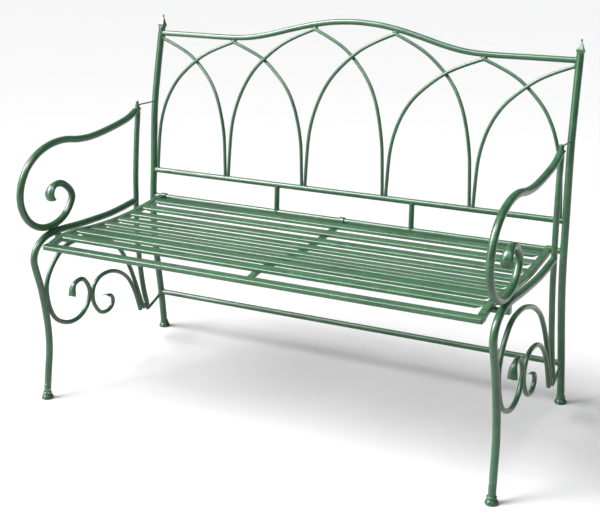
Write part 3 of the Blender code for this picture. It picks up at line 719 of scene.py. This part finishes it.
def green_paint(name, dust, streaks=0.0, chips=None, hammer=0.0, shade=1.0):
    """Old satin enamel. dust greys what faces up, streaks draws lines along X, chips is the height
    below which the paint has flaked, and hammer dents it. shade darkens it, as painted shade for the inside
    of a hollow."""
    material = bpy.data.materials.new(name)
    material.use_nodes = True
    n = Nodes(material)
    shader = material.node_tree.nodes["Principled BSDF"]
    place = n.add("ShaderNodeTexCoord")
    position = place.outputs["Object"]
    facing = n.add("ShaderNodeSeparateXYZ", Vector=place.outputs["Normal"])

    broad = n.noise(position, BROAD_SCALE, detail=3)
    cloudy = n.noise(position, CLOUDY_SCALE, detail=5)
    fine = n.noise(position, FINE_SCALE, detail=3)
    # shade below 1 darkens every colour: painted shade.
    deep = tuple(channel * shade for channel in GREEN_DEEP)
    middle = tuple(channel * shade for channel in GREEN)
    colour = n.mix(n.span(broad, *BROAD_RANGE), deep, middle)
    colour = n.mix(n.span(cloudy, *CLOUDY_RANGE, 0, CLOUDY_LIGHT * shade), colour, GREEN_LIGHT)
    colour = n.mix(n.span(fine, *FINE_RANGE, 0, FINE_LIGHT * shade), colour, GREEN_LIGHT)

    upward = n.span(facing.outputs["Z"], *UPWARD_RANGE)
    film = n.math("MULTIPLY", upward, n.span(cloudy, *DUST_RANGE))
    film = n.math("MULTIPLY", film, dust)
    paint_roughness = n.span(cloudy, *ROUGHNESS_RANGE, *PAINT_ROUGHNESS)
    roughness = n.math("ADD", paint_roughness, n.math("MULTIPLY", film, DUST_ROUGHNESS))
    if streaks:
        lines = n.noise(position, STREAK_SCALE, detail=3, stretch=STREAK_STRETCH)
        scuffs = n.noise(position, SCUFF_SCALE, detail=2, stretch=SCUFF_STRETCH)
        short = n.span(scuffs, *SCUFF_RANGE, 0, SCUFF_SHARE)
        brush = n.math("ADD", n.span(lines, *STREAK_RANGE), short, clamp=True)
        film = n.math("MAXIMUM", film, n.math("MULTIPLY", n.math("MULTIPLY", brush, upward), streaks))
    colour = n.mix(film, colour, DUST)

    relief = n.math("MULTIPLY", fine, FINE_RELIEF)
    relief = n.math("ADD", relief, n.math("MULTIPLY", cloudy, CLOUDY_RELIEF))
    if hammer:
        dents = n.add("ShaderNodeTexVoronoi", Vector=position)
        dents.feature = "SMOOTH_F1"
        dents.inputs["Scale"].default_value = HAMMER_SCALE
        relief = n.math("ADD", relief, n.math("MULTIPLY", dents.outputs["Distance"], hammer))
    if chips:
        height = n.add("ShaderNodeSeparateXYZ", Vector=position).outputs["Z"]
        above_flare = n.span(height, *CHIP_LOW_RANGE)
        zone = n.math("MULTIPLY", n.span(height, chips, chips * CHIP_FADE), above_flare)
        flake = n.noise(position, FLAKE_SCALE, detail=3, stretch=FLAKE_STRETCH, roughness=FLAKE_GRAIN)
        patch = n.noise(position, PATCH_SCALE, detail=2)
        worn = []
        for flake_range, patch_range in (BARE_RANGES, RIM_RANGES):
            share = n.math("MULTIPLY", n.span(flake, *flake_range), n.span(patch, *patch_range))
            worn.append(n.math("MULTIPLY", share, zone, clamp=True))
        bare, rim = worn
        colour = n.mix(rim, colour, RUST)
        colour = n.mix(bare, colour, PRIMER)
        relief = n.math("SUBTRACT", relief, n.math("MULTIPLY", rim, RIM_DEPTH))
    bump = n.add("ShaderNodeBump", Height=relief)
    bump.inputs["Strength"].default_value = BUMP_STRENGTH
    bump.inputs["Distance"].default_value = BUMP_DISTANCE
    links = material.node_tree.links
    links.new(colour, shader.inputs["Base Color"])
    links.new(roughness, shader.inputs["Roughness"])
    links.new(bump.outputs["Normal"], shader.inputs["Normal"])
    shader.inputs["Specular IOR Level"].default_value = SPECULAR
    shader.inputs["Coat Weight"].default_value = COAT
    shader.inputs["Coat Roughness"].default_value = COAT_ROUGHNESS
    return material


# --- back frame ---


def build_post(side, sign, paint):
    rise = POST_TOP - POST_FOOT
    heights = [POST_FOOT + rise * k / POST_STEPS for k in range(POST_STEPS + 1)]
    path = [back_point(sign * HALF_SPAN, z) for z in heights]
    add_tube_piece(
        f"post_{side}", "back_frame", f"back_post_{side}", path, POST_RADIUS, paint, start_normal=Z_AXIS
    )


def squared_ring(centre, along, half_width, squareness):
    """A ring between a circle and a square."""
    out = X_AXIS.cross(along).normalized()
    power = 2 / (2 + SQUARE_POWER * squareness * squareness)
    ring = []
    for k in range(FINIAL_SIDES):
        angle = 2 * math.pi * (k + 0.5) / FINIAL_SIDES
        cosine, sine = math.cos(angle), math.sin(angle)
        x = math.copysign(abs(cosine) ** power, cosine) * half_width
        y = math.copysign(abs(sine) ** power, sine) * half_width
        ring.append(centre + X_AXIS * x + out * y)
    return ring


def build_finial(side, sign, paint):
    foot = back_point(sign * HALF_SPAN, POST_TOP)
    along = (back_point(sign * HALF_SPAN, POST_TOP + FINIAL_SLOPE_REACH) - foot).normalized()
    widths = [(h, w) for h, w, _ in FINIAL_SECTIONS]
    rings = []
    for (low, _, low_square), (high, _, high_square) in zip(FINIAL_SECTIONS, FINIAL_SECTIONS[1:]):
        for share in (0, 0.5):
            height = low + (high - low) * share
            square = low_square + (high_square - low_square) * share
            rings.append(squared_ring(foot + along * height, along, smooth_value(widths, height), square))
    top_height, top_width, top_square = FINIAL_SECTIONS[-1]
    rings.append(squared_ring(foot + along * top_height, along, top_width, top_square))
    add_lofted_piece(
        f"finial_point_{side}", "back_frame", f"finial_{side}", rings, paint, sharp=FINIAL_SHARP
    )


def build_foot(name, node, body, x, depth, paint):
    mesh = bmesh.new()
    add_turned(mesh, at(x, depth, 0), FOOT_PROFILE)
    add_piece(name, mesh, body, (node,), paint, sharp=FITTING_SHARP)


def top_rail_path():
    end = (HALF_SPAN - BURY, TOP_RAIL_OUTLINE[-1][1])
    half = [*TOP_RAIL_OUTLINE, end]
    outline = [(-x, z) for x, z in reversed(half[1:])] + half
    curve = relaxed(spline([Vector((x, 0, z)) for x, z in outline]), TOP_RAIL_ROUNDS)
    return [back_point(p.x, p.z) for p in resample(curve, TOP_RAIL_STEP)]


def level_path(depth, height):
    end = HALF_SPAN - BURY
    return resample([at(-end, depth, height), at(end, depth, height)], LEVEL_STEP)


def arch_curve(base_x, apex_x, apex_z):
    base_z = LOWER_RAIL_HEIGHT + BURY
    points = []
    for across, up in ARCH_OUTLINE:
        points.append(Vector((base_x + (apex_x - base_x) * across, 0, base_z + (apex_z - base_z) * up)))
    return relaxed(spline(points), ARCH_ROUNDS)


def arch_curves():
    """(front view, bow) of the ten rods, left to right. Each pair of neighbours crosses once."""
    post_side = HALF_SPAN - BURY
    tops = [
        (-post_side, POST_APEX_HEIGHT),
        (-OUTER_APEX[0], OUTER_APEX[1]),
        (-INNER_APEX[0], INNER_APEX[1]),
        INNER_APEX,
        OUTER_APEX,
        (post_side, POST_APEX_HEIGHT),
    ]
    bases = [-POST_BASE, -OUTER_BASE, -INNER_BASE, INNER_BASE, OUTER_BASE, POST_BASE]
    last = len(bases) - 1
    rods = []
    for k, base in enumerate(bases):
        if k > 0:
            spread = ROD_SPACING if k < last else 0
            rods.append((arch_curve(base - spread, *tops[k - 1]), CROSSING_BOW))
        if k < last:
            spread = ROD_SPACING if k > 0 else 0
            rods.append((arch_curve(base + spread, *tops[k + 1]), -CROSSING_BOW))
    return rods


def build_arches(paint, welds):
    rods = arch_curves()
    for index, (curve, bow) in enumerate(rods):
        partner = rods[index + 1 if index % 2 == 0 else index - 1][0]
        crossing = min(curve, key=lambda p: min((p - q).length for q in partner))
        path = []
        for point in resample(curve, ROD_STEP):
            offset = bow * math.exp(-(((point - crossing).length / CROSSING_REACH) ** 2))
            path.append(at(point.x, back_depth(point.z) + offset, point.z))
        add_tube_piece(
            f"rod_{index + 1}", "back_frame", f"arch_rod_{index + 1}", path, ROD_RADIUS, paint,
            sides=ROD_SIDES, start_normal=Z_AXIS, end_normal=X_AXIS,
        )
        foot = at(path[0].x, back_depth(LOWER_RAIL_HEIGHT), LOWER_RAIL_HEIGHT)
        add_saddle_weld(welds, foot, Z_AXIS, X_AXIS, ROD_RADIUS, RAIL_RADIUS, ROD_BEAD, seed=index)
        if index % 2 == 0:
            middle = back_point(crossing.x, crossing.z)
            add_blob(welds, middle, CROSSING_WELD, seed=3.1 * index)
    for x, z in (INNER_APEX, OUTER_APEX):
        for sign in (-1, 1):
            apex = back_point(sign * x, z + APEX_WELD_RISE)
            add_blob(welds, apex, APEX_WELD, seed=40 * x * sign)
    for sign in (-1, 1):
        end = back_point(sign * (HALF_SPAN - POST_RADIUS), POST_APEX_HEIGHT)
        add_blob(welds, end, ARCH_END_WELD, seed=7 * sign)


def build_back(paint):
    welds = bmesh.new()
    build_arches(paint, welds)
    add_tube_piece("rail_top", "back_frame", "top_rail", top_rail_path(), RAIL_RADIUS, paint)
    lower_depth = back_depth(LOWER_RAIL_HEIGHT)
    rails = [
        ("rail_lower_back", "lower_back_rail", lower_depth, LOWER_RAIL_HEIGHT),
        ("rail_seat", "rear_seat_rail", SEAT_HINGE_DEPTH, SEAT_RAIL_HEIGHT),
        ("stretcher", "back_stretcher", back_depth(STRETCHER_HEIGHT), STRETCHER_HEIGHT),
    ]
    for name, node, depth, height in rails:
        add_tube_piece(name, "back_frame", node, level_path(depth, height), RAIL_RADIUS, paint)
    for side, sign in SIDES:
        build_post(side, sign, paint)
        build_finial(side, sign, paint)
        x = sign * HALF_SPAN
        build_foot(f"foot_rear_{side}", f"rear_foot_cap_{side}", "back_frame", x, back_depth(0), paint)
        strut_x = sign * STRUT_OFFSET
        strut_foot = at(strut_x, SEAT_HINGE_DEPTH, SEAT_RAIL_HEIGHT)
        path = resample([strut_foot, at(strut_x, lower_depth, LOWER_RAIL_HEIGHT)], TUBE_STEP)
        add_tube_piece(f"strut_{side}", "back_frame", f"back_strut_{side}", path, STRUT_RADIUS, paint)
        bead_path = STRUT_RADIUS * STRUT_WELD_SHARE
        for end, out, seed in ((path[0], Z_AXIS, 11 + sign), (path[-1], -Z_AXIS, 15 + sign)):
            add_saddle_weld(welds, end, out, X_AXIS, bead_path, RAIL_RADIUS, RAIL_BEAD, seed)
        inward = X_AXIS * -sign
        for _, _, depth, height in rails:
            end = at(x, depth, height)
            add_saddle_weld(welds, end, inward, Z_AXIS, RAIL_RADIUS, POST_RADIUS, RAIL_BEAD, seed=height)
        end = back_point(x, TOP_RAIL_OUTLINE[-1][1])
        add_saddle_weld(welds, end, inward, Z_AXIS, RAIL_RADIUS, POST_RADIUS, TOP_RAIL_BEAD, seed=21 + sign)
        build_pivot_hardware(side, sign, paint)
    add_piece("welds_back", welds, "back_frame", (), paint, sharp=WELD_SHARP)


def build_pivot_hardware(side, sign, paint):
    """The eye link above and the bent bar below that carry a side frame."""
    x = sign * HALF_SPAN
    middle = (STRAP_BOTTOM + STRAP_TOP) / 2
    half = (STRAP_TOP - STRAP_BOTTOM) / 2
    hole = PIN_RADIUS + PIN_PLAY
    # Radius, and height as a share of the eye's half thickness.
    eye = (
        (hole, -0.6),
        (hole + HOLE_EDGE, -1),
        (EYE_RADIUS - EYE_EDGE, -1),
        (EYE_RADIUS, -0.5),
        (EYE_RADIUS, 0.5),
        (EYE_RADIUS - EYE_EDGE, 1),
        (hole + HOLE_EDGE, 1),
        (hole, 0.6),
    )
    profile = [(radius, middle + half * share) for radius, share in eye]
    mesh = bmesh.new()
    add_turned(mesh, at(x, PIVOT_DEPTH, 0), profile, closed=True)
    inner = PIVOT_DEPTH + EYE_RADIUS - LINK_BURY
    outer = back_depth(middle) - POST_RADIUS + POST_BURY
    path = resample([at(x, inner, middle), at(x, outer, middle - LINK_FALL)], TUBE_STEP)
    add_loft(mesh, tube_rings(path, LINK_RADIUS, LINK_SIDES))
    post = back_point(x, middle - LINK_FALL)
    add_saddle_weld(mesh, post, -Y_AXIS, X_AXIS, LINK_RADIUS, POST_RADIUS, LINK_BEAD, seed=31 + sign)
    add_piece(f"eye_link_{side}", mesh, "back_frame", (f"pivot_link_{side}",), paint, sharp=FITTING_SHARP)

    start_depth = back_depth(STRETCHER_HEIGHT) - POST_RADIUS + POST_BURY
    start = at(x, start_depth, STRETCHER_HEIGHT - PINTLE_START_DROP)
    corner = at(x, PIVOT_DEPTH, PINTLE_CORNER)
    outward = (start - corner).normalized()
    bend = []
    for k in range(PINTLE_BEND_STEPS + 1):
        share = k / PINTLE_BEND_STEPS
        before = corner + outward * (PINTLE_BEND * (1 - share))
        after = corner + Z_AXIS * (PINTLE_BEND * share)
        bend.append(before.lerp(after, share))
    path = resample([start, *bend, at(x, PIVOT_DEPTH, PINTLE_TOP)], PINTLE_STEP)
    mesh = bmesh.new()
    add_loft(mesh, tube_rings(path, PINTLE_RADIUS, PINTLE_SIDES))
    post = back_point(x, STRETCHER_HEIGHT - PINTLE_WELD_DROP)
    add_saddle_weld(mesh, post, -Y_AXIS, X_AXIS, PINTLE_RADIUS, POST_RADIUS, RAIL_BEAD, seed=35 + sign)
    add_piece(f"pintle_bar_{side}", mesh, "back_frame", (f"pivot_bar_{side}",), paint, sharp=FITTING_SHARP)


# --- side frames ---


def side_path(sign, outline, spacing=TUBE_STEP):
    curve = spline([at(sign * HALF_SPAN, y, z) for y, z in outline], SIDE_SPLINE_STEPS)
    return resample(relaxed(curve, SIDE_ROUNDS), spacing)


def build_side(side, sign, paint, leg_paint, scroll_paint, hollow_shade_paint):
    body = f"side_frame_{side}"
    welds = bmesh.new()
    x = sign * HALF_SPAN

    upright = side_path(sign, UPRIGHT_OUTLINE)
    rings = tube_rings(upright, UPRIGHT_RADIUS, TUBE_SIDES, Z_AXIS, Z_AXIS)
    bore = PINTLE_RADIUS + PINTLE_PLAY
    foot = at(x, PIVOT_DEPTH, UPRIGHT_BOTTOM)
    mouth = [foot + (p - foot) * (bore / UPRIGHT_RADIUS) for p in rings[-1]]
    for p in mouth:
        p.z = UPRIGHT_BOTTOM
    rings += [mouth, [p + Z_AXIS * UPRIGHT_BORE_DEPTH for p in mouth]]
    add_lofted_piece(f"upright_{side}", body, f"rear_upright_{side}", rings, paint)

    arm = side_path(sign, ARM_OUTLINE)
    mesh = bmesh.new()
    add_trough_tube(mesh, arm, ARM_RADIUS, ARM_SIDES, (ARM_TAB, ARM_END))
    arm_piece = add_piece(f"arm_{side}", mesh, body, (f"arm_tube_{side}",), scroll_paint)
    # The trough's hollow takes a dark green of painted shade.
    arm_piece.data.materials.append(hollow_shade_paint)

    leg = side_path(sign, LEG_OUTLINE)
    rings = tube_rings(leg, ARM_RADIUS, CURVED_SIDES, Y_AXIS, Z_AXIS)
    add_lofted_piece(f"leg_{side}", body, f"leg_tube_{side}", rings, leg_paint)

    scrolls = (
        ("scroll_large", "large_scroll", LARGE_SCROLL_OUTLINE, LARGE_SCROLL_RADIUS, LARGE_SCROLL_END),
        ("scroll_small", "small_scroll", SMALL_SCROLL_OUTLINE, SMALL_SCROLL_RADIUS, SMALL_SCROLL_END),
    )
    for name, node, outline, radius, end in scrolls:
        mesh = bmesh.new()
        path = side_path(sign, outline, SCROLL_STEP)
        add_trough_tube(mesh, path, radius, CURVED_SIDES, (None, end), Z_AXIS)
        scroll = add_piece(f"{name}_{side}", mesh, body, (f"{node}_{side}",), scroll_paint)
        # The trough's hollow takes a dark green of painted shade.
        scroll.data.materials.append(hollow_shade_paint)

    build_foot(f"foot_front_{side}", f"front_foot_cap_{side}", body, x, FRONT_FOOT_DEPTH, leg_paint)
    build_rest(side, sign, paint)
    build_pin(side, sign, paint)

    for index, (y, z, radii) in enumerate(SIDE_WELDS):
        add_blob(welds, at(x, y, z), radii, seed=5.3 * index + sign)
    add_piece(f"welds_{side}", welds, body, (), paint, sharp=WELD_SHARP)


def build_rest(side, sign, paint):
    """The lug under the leg tube that carries the seat's side bar."""
    top = seat_height(REST_DEPTH) - SIDE_BAR_HEIGHT - REST_PLAY
    low = top - REST_HEIGHT
    leg_height = max(z for y, z in LEG_OUTLINE if y < REST_DEPTH)
    stem_top = leg_height - ARM_RADIUS + REST_STEM_BURY
    outline = [
        (REST_INNER, low),
        (HALF_SPAN + REST_STEM_HALF, low),
        (HALF_SPAN + REST_STEM_HALF, stem_top),
        (HALF_SPAN - REST_STEM_HALF, stem_top),
        (HALF_SPAN - REST_STEM_HALF, top),
        (REST_INNER, top),
    ]
    rings = []
    for depth in (REST_DEPTH - REST_HALF_LENGTH, REST_DEPTH + REST_HALF_LENGTH):
        rings.append([at(sign * x, depth, z) for x, z in outline])
    body = f"side_frame_{side}"
    add_lofted_piece(f"rest_{side}", body, f"seat_rest_{side}", rings, paint, bevel=REST_BEVEL)


def build_pin(side, sign, paint):
    """The bolt through the eye, under a ball nut on the left and a flat cap on the right."""
    centre = at(sign * HALF_SPAN, PIVOT_DEPTH, 0)
    mesh = bmesh.new()
    low = STRAP_TOP + HEAD_PLAY
    add_turned(mesh, centre, [(PIN_RADIUS, PIN_BOTTOM), (PIN_RADIUS, low + PIN_RISE)], PIN_SIDES)
    add_turned(mesh, centre, COLLAR_PROFILE, COLLAR_SIDES)
    if side == "left":
        head = [(radius, low + height) for radius, height in NUT_COLLAR]
        for k in range(1, NUT_STEPS):
            angle = math.pi * (k / NUT_STEPS - 0.5)
            head.append((NUT_RADIUS * math.cos(angle), low + NUT_CENTRE + NUT_RADIUS * math.sin(angle)))
    else:
        head = [(radius, low + height) for radius, height in CAP_PROFILE]
    add_turned(mesh, centre, head, HEAD_SIDES)
    nodes = (f"pivot_pin_{side}", f"pivot_nut_{side}")
    add_piece(f"pivot_bolt_{side}", mesh, f"side_frame_{side}", nodes, paint, sharp=BAR_SHARP)


# --- seat ---


def rounded_box_section(half_width, height, corner, crown):
    """A closed (across, up) outline from its half width, height below the top, corner radius and crown."""
    outline = []
    corners = [
        (half_width - corner, -corner, 0),
        (-half_width + corner, -corner, 90),
        (-half_width + corner, -height + corner, 180),
        (half_width - corner, -height + corner, 270),
    ]
    for across, up, first in corners:
        for k in range(EDGE_STEPS + 1):
            angle = math.radians(first + 90 * k / EDGE_STEPS)
            outline.append((across + corner * math.cos(angle), up + corner * math.sin(angle)))
        if first == 0:
            flat = half_width - corner
            for k in range(1, TOP_STEPS):
                outline.append((flat * (1 - 2 * k / TOP_STEPS), 0.0))
    crowned = []
    for across, up in outline:
        drop = crown * (across / half_width) ** 2 if up > -corner else 0
        crowned.append((across, up - drop))
    return crowned


def seat_bar_rings(middle, half_width, height, drop, start, end, corner, crown):
    section = rounded_box_section(half_width, height, corner, crown)
    rings = []
    for k in range(BAR_STEPS + 1):
        y = start + (end - start) * k / BAR_STEPS
        top = seat_height(y) - drop
        rings.append([at(middle + across, y, top + up) for across, up in section])
    return rings


def build_front_rail(paint):
    section = rounded_box_section(
        FRONT_RAIL_HALF_WIDTH, FRONT_RAIL_HEIGHT, FRONT_RAIL_EDGE, FRONT_RAIL_CROWN
    )
    back = FRONT_RAIL_DEPTH + FRONT_RAIL_HALF_WIDTH
    top = seat_height(FRONT_RAIL_DEPTH)
    half = []
    for k in range(FRONT_CORNER_STEPS + 1):
        angle = math.pi / 2 * k / FRONT_CORNER_STEPS
        x = SEAT_HALF_WIDTH - FRONT_RAIL_CORNER * (1 - math.sin(angle))
        half.append((x, FRONT_RAIL_CORNER * (1 - math.cos(angle))))
    count = FRONT_STRAIGHT_STEPS
    straight = [(half[0][0] * k / count, 0.0) for k in range(1 - count, count)]
    stations = [(-x, cut) for x, cut in reversed(half)] + straight + half
    rings = []
    for x, cut in stations:
        share = 1 - cut / (2 * FRONT_RAIL_HALF_WIDTH)
        ring = []
        for across, up in section:
            depth = back + (FRONT_RAIL_DEPTH + across - back) * share
            ring.append(at(x, depth, top + up))
        rings.append(ring)
    add_lofted_piece("front_rail", "seat", "seat_front_rail", rings, paint, sharp=BAR_SHARP)


def slat_section():
    """The pressed channel's outline (across, up), from its front foot over the crown and back inside."""
    half, height, edge = SLAT_HALF_WIDTH, SLAT_HEIGHT, SLAT_EDGE
    front_edge = []
    for k in range(SLAT_EDGE_STEPS + 1):
        angle = math.radians(180 - 90 * k / SLAT_EDGE_STEPS)
        across = -half + edge + edge * math.cos(angle)
        front_edge.append((across, -edge - SLAT_CROWN + edge * math.sin(angle)))
    flat = half - edge
    crown = []
    for k in range(1, SLAT_TOP_STEPS):
        across = -flat + 2 * flat * k / SLAT_TOP_STEPS
        crown.append((across, -SLAT_CROWN * (across / flat) ** 2))
    back_edge = [(-across, up) for across, up in reversed(front_edge)]
    knee = -height * SLAT_KNEE
    outer = [(-half, -height), (-half, knee), *front_edge, *crown, *back_edge, (half, knee), (half, -height)]
    inner = []
    for across, up in reversed(outer[1:-1]):
        shrink = (half - SLAT_WALL) / half
        inner.append((across * shrink, max(up - SLAT_WALL, -height)))
    inner = [(half - SLAT_WALL, -height), *inner, (-half + SLAT_WALL, -height)]
    return outer, inner


def build_slat(index, paint):
    depth = FRONT_RAIL_DEPTH + SLAT_PITCH * (SLAT_COUNT + 1 - index)
    reach = SLAT_SLOPE_REACH
    tilt = math.atan((seat_height(depth + reach) - seat_height(depth - reach)) / (2 * reach))
    turn = Matrix.Rotation(tilt, 3, "X")
    top = at(0, depth, seat_height(depth))
    outer, inner = slat_section()
    end = SEAT_HALF_WIDTH - SIDE_BAR_WIDTH + SLAT_END_OVERLAP
    cut_height = SLAT_HEIGHT - SLAT_CUT_START
    mesh = bmesh.new()
    levels = []
    for k in range(SLAT_STEPS + 1):
        share = 2 * k / SLAT_STEPS - 1
        level = []
        for across, up in outer + inner:
            cut = SLAT_END_CUT * max(0.0, (-up - SLAT_CUT_START) / cut_height)
            x = share * (end - cut)
            level.append(mesh.verts.new(top + turn @ Vector((x, across, up))))
        levels.append(level)
    count = len(levels[0])
    for lower, upper in zip(levels, levels[1:]):
        for k in range(count):
            after = (k + 1) % count
            mesh.faces.new((lower[k], lower[after], upper[after], upper[k]))
    # Each end shows the sheet's edge: a strip between the outer and the inner outline.
    for level in (levels[0], levels[-1]):
        for k in range(len(outer) - 1):
            opposite = count - 1 - k
            mesh.faces.new((level[k], level[k + 1], level[opposite - 1], level[opposite]))
    bmesh.ops.recalc_face_normals(mesh, faces=mesh.faces)
    add_piece(f"slat_{index}", mesh, "seat", (f"seat_slat_{index}",), paint, sharp=FITTING_SHARP)


def build_hinge(name, node, x, half_width, paint):
    """A loop round the seat rail, its edges eased."""
    centre = at(x, SEAT_HINGE_DEPTH, SEAT_RAIL_HEIGHT)
    right_half = [
        (half_width - HINGE_EDGE, HINGE_OUTER_RADIUS),
        (half_width, HINGE_OUTER_RADIUS - HINGE_EDGE),
        (half_width, HINGE_INNER_RADIUS + HINGE_EDGE),
        (half_width - HINGE_EDGE, HINGE_INNER_RADIUS),
    ]
    left_half = [(-across, radius) for across, radius in reversed(right_half)]
    rings = []
    for across, radius in left_half + right_half:
        rings.append(circle(centre + X_AXIS * across, radius, HINGE_SIDES, Y_AXIS, Z_AXIS))
    add_lofted_piece(name, "seat", node, rings, paint, closed=True, sharp=BAR_SHARP)


def build_seat(paint, slat_paint):
    rear = SEAT_HINGE_DEPTH - HINGE_OUTER_RADIUS + BAR_BURY
    front = FRONT_RAIL_DEPTH + FRONT_RAIL_HALF_WIDTH - BAR_BURY
    build_front_rail(slat_paint)
    welds = bmesh.new()
    half = SIDE_BAR_WIDTH / 2
    middle = SEAT_HALF_WIDTH - half
    for side, sign in SIDES:
        rings = seat_bar_rings(
            sign * middle, half, SIDE_BAR_HEIGHT, 0, front, rear, SIDE_BAR_EDGE, SIDE_BAR_CROWN
        )
        node = f"seat_side_bar_{side}"
        add_lofted_piece(f"side_bar_{side}", "seat", node, rings, slat_paint, sharp=BAR_SHARP)
        build_hinge(f"hinge_{side}", f"seat_hinge_{side}", sign * middle, half, paint)
        inner = sign * (SEAT_HALF_WIDTH - SIDE_BAR_WIDTH)
        for index in range(1, SLAT_COUNT + 1):
            depth = FRONT_RAIL_DEPTH + SLAT_PITCH * index
            low = seat_height(depth) - SLAT_WELD_DROP
            add_blob(welds, at(inner, depth, low), SLAT_WELD, seed=1.7 * index + sign)
    half = CENTRE_BAR_WIDTH / 2
    drop = SLAT_HEIGHT + CENTRE_BAR_GAP
    rings = seat_bar_rings(0, half, CENTRE_BAR_HEIGHT, drop, front, rear, CENTRE_BAR_EDGE, 0)
    add_lofted_piece("centre_bar", "seat", "seat_centre_bar", rings, paint, sharp=BAR_SHARP)
    build_hinge("hinge_centre", "seat_hinge_centre", 0, half, paint)
    for index in range(1, SLAT_COUNT + 1):
        build_slat(index, slat_paint)
    add_piece("welds_seat", welds, "seat", (), paint, sharp=WELD_SHARP)


# --- camera, floor and light ---


def build_camera():
    """The photograph's viewing angle, from the bench's front right, a little above it."""
    position = at(*CAMERA_POSITION)
    yaw = math.radians(CAMERA_YAW)
    pitch = math.radians(CAMERA_PITCH)
    roll = math.radians(CAMERA_ROLL)
    ahead = Vector((math.sin(yaw) * math.cos(pitch), math.cos(yaw) * math.cos(pitch), math.sin(pitch)))
    level = Vector((math.cos(yaw), -math.sin(yaw), 0))
    above = level.cross(ahead)
    right = level * math.cos(roll) + above * math.sin(roll)
    up = above * math.cos(roll) - level * math.sin(roll)
    data = bpy.data.cameras.new("camera")
    data.sensor_width = CAMERA_SENSOR
    data.lens = CAMERA_LENS
    data.shift_x, data.shift_y = CAMERA_SHIFT
    camera = placed("camera", data)
    camera.matrix_world = Matrix(
        (
            (right.x, up.x, -ahead.x, position.x),
            (right.y, up.y, -ahead.y, position.y),
            (right.z, up.z, -ahead.z, position.z),
            (0, 0, 0, 1),
        )
    )
    bpy.context.scene.camera = camera


def add_light(name, position, target, size, power):
    data = bpy.data.lights.new(name, "AREA")
    data.shape = "RECTANGLE"
    data.size, data.size_y = size
    data.energy = power
    light = placed(name, data)
    light.location = position
    light.rotation_euler = (Vector(target) - Vector(position)).to_track_quat("-Z", "Y").to_euler()


def add_sun(name, source, spread, strength):
    """Broad light from the direction of source."""
    data = bpy.data.lights.new(name, "SUN")
    data.angle = math.radians(spread)
    data.energy = strength
    light = placed(name, data)
    light.rotation_euler = (-Vector(source)).to_track_quat("-Z", "Y").to_euler()


def build_stage():
    mesh = bmesh.new()
    bmesh.ops.create_grid(mesh, x_segments=1, y_segments=1, size=FLOOR_HALF_SIDE)
    material = bpy.data.materials.new("pale_floor")
    material.use_nodes = True
    n = Nodes(material)
    shader = material.node_tree.nodes["Principled BSDF"]
    shader.inputs["Base Color"].default_value = FLOOR_COLOUR
    shader.inputs["Specular IOR Level"].default_value = 0.2
    grain = n.noise(n.add("ShaderNodeTexCoord").outputs["Object"], scale=30)
    roughness = n.span(grain, low=0.3, high=0.7, to_low=0.7, to_high=0.8)
    material.node_tree.links.new(roughness, shader.inputs["Roughness"])
    finished("floor", mesh, material)

    world = bpy.data.worlds.new("studio")
    world.use_nodes = True
    background = world.node_tree.nodes["Background"]
    background.inputs["Color"].default_value = SKY_COLOUR
    background.inputs["Strength"].default_value = SKY_STRENGTH
    bpy.context.scene.world = world
    bpy.context.scene.view_settings.view_transform = "Standard"
    add_sun("key", source=(-2.2, -1.2, 2.7), spread=34, strength=7.6)
    add_sun("fill", source=(1.0, -1.6, 3.0), spread=50, strength=0.7)
    add_light("strip_left", (-2.4, -2.6, 1.7), target=(0, 0, 0.45), size=(0.5, 2.4), power=70)
    add_light("strip_top", (0.1, -0.9, 2.9), target=(0, 0, 0.4), size=(2.6, 0.7), power=60)


def main():
    build_camera()
    tube_paint = green_paint("enamel_tubes", dust=0.14)
    back_paint = green_paint("enamel_back", dust=0.16)
    leg_paint = green_paint("enamel_legs", dust=0.12, chips=0.085)
    scroll_paint = green_paint("enamel_scrolls", dust=0.12, hammer=0.3)
    # Painted shade: a very dark green for the hollows of the pressed ends, where shade falls.
    hollow_shade_paint = green_paint("enamel_hollow_painted_shade", dust=0.0, shade=0.22)
    slat_paint = green_paint("enamel_slats", dust=0.25, streaks=0.7)
    build_back(back_paint)
    for side, sign in SIDES:
        build_side(side, sign, tube_paint, leg_paint, scroll_paint, hollow_shade_paint)
    build_seat(tube_paint, slat_paint)
    build_stage()


main()
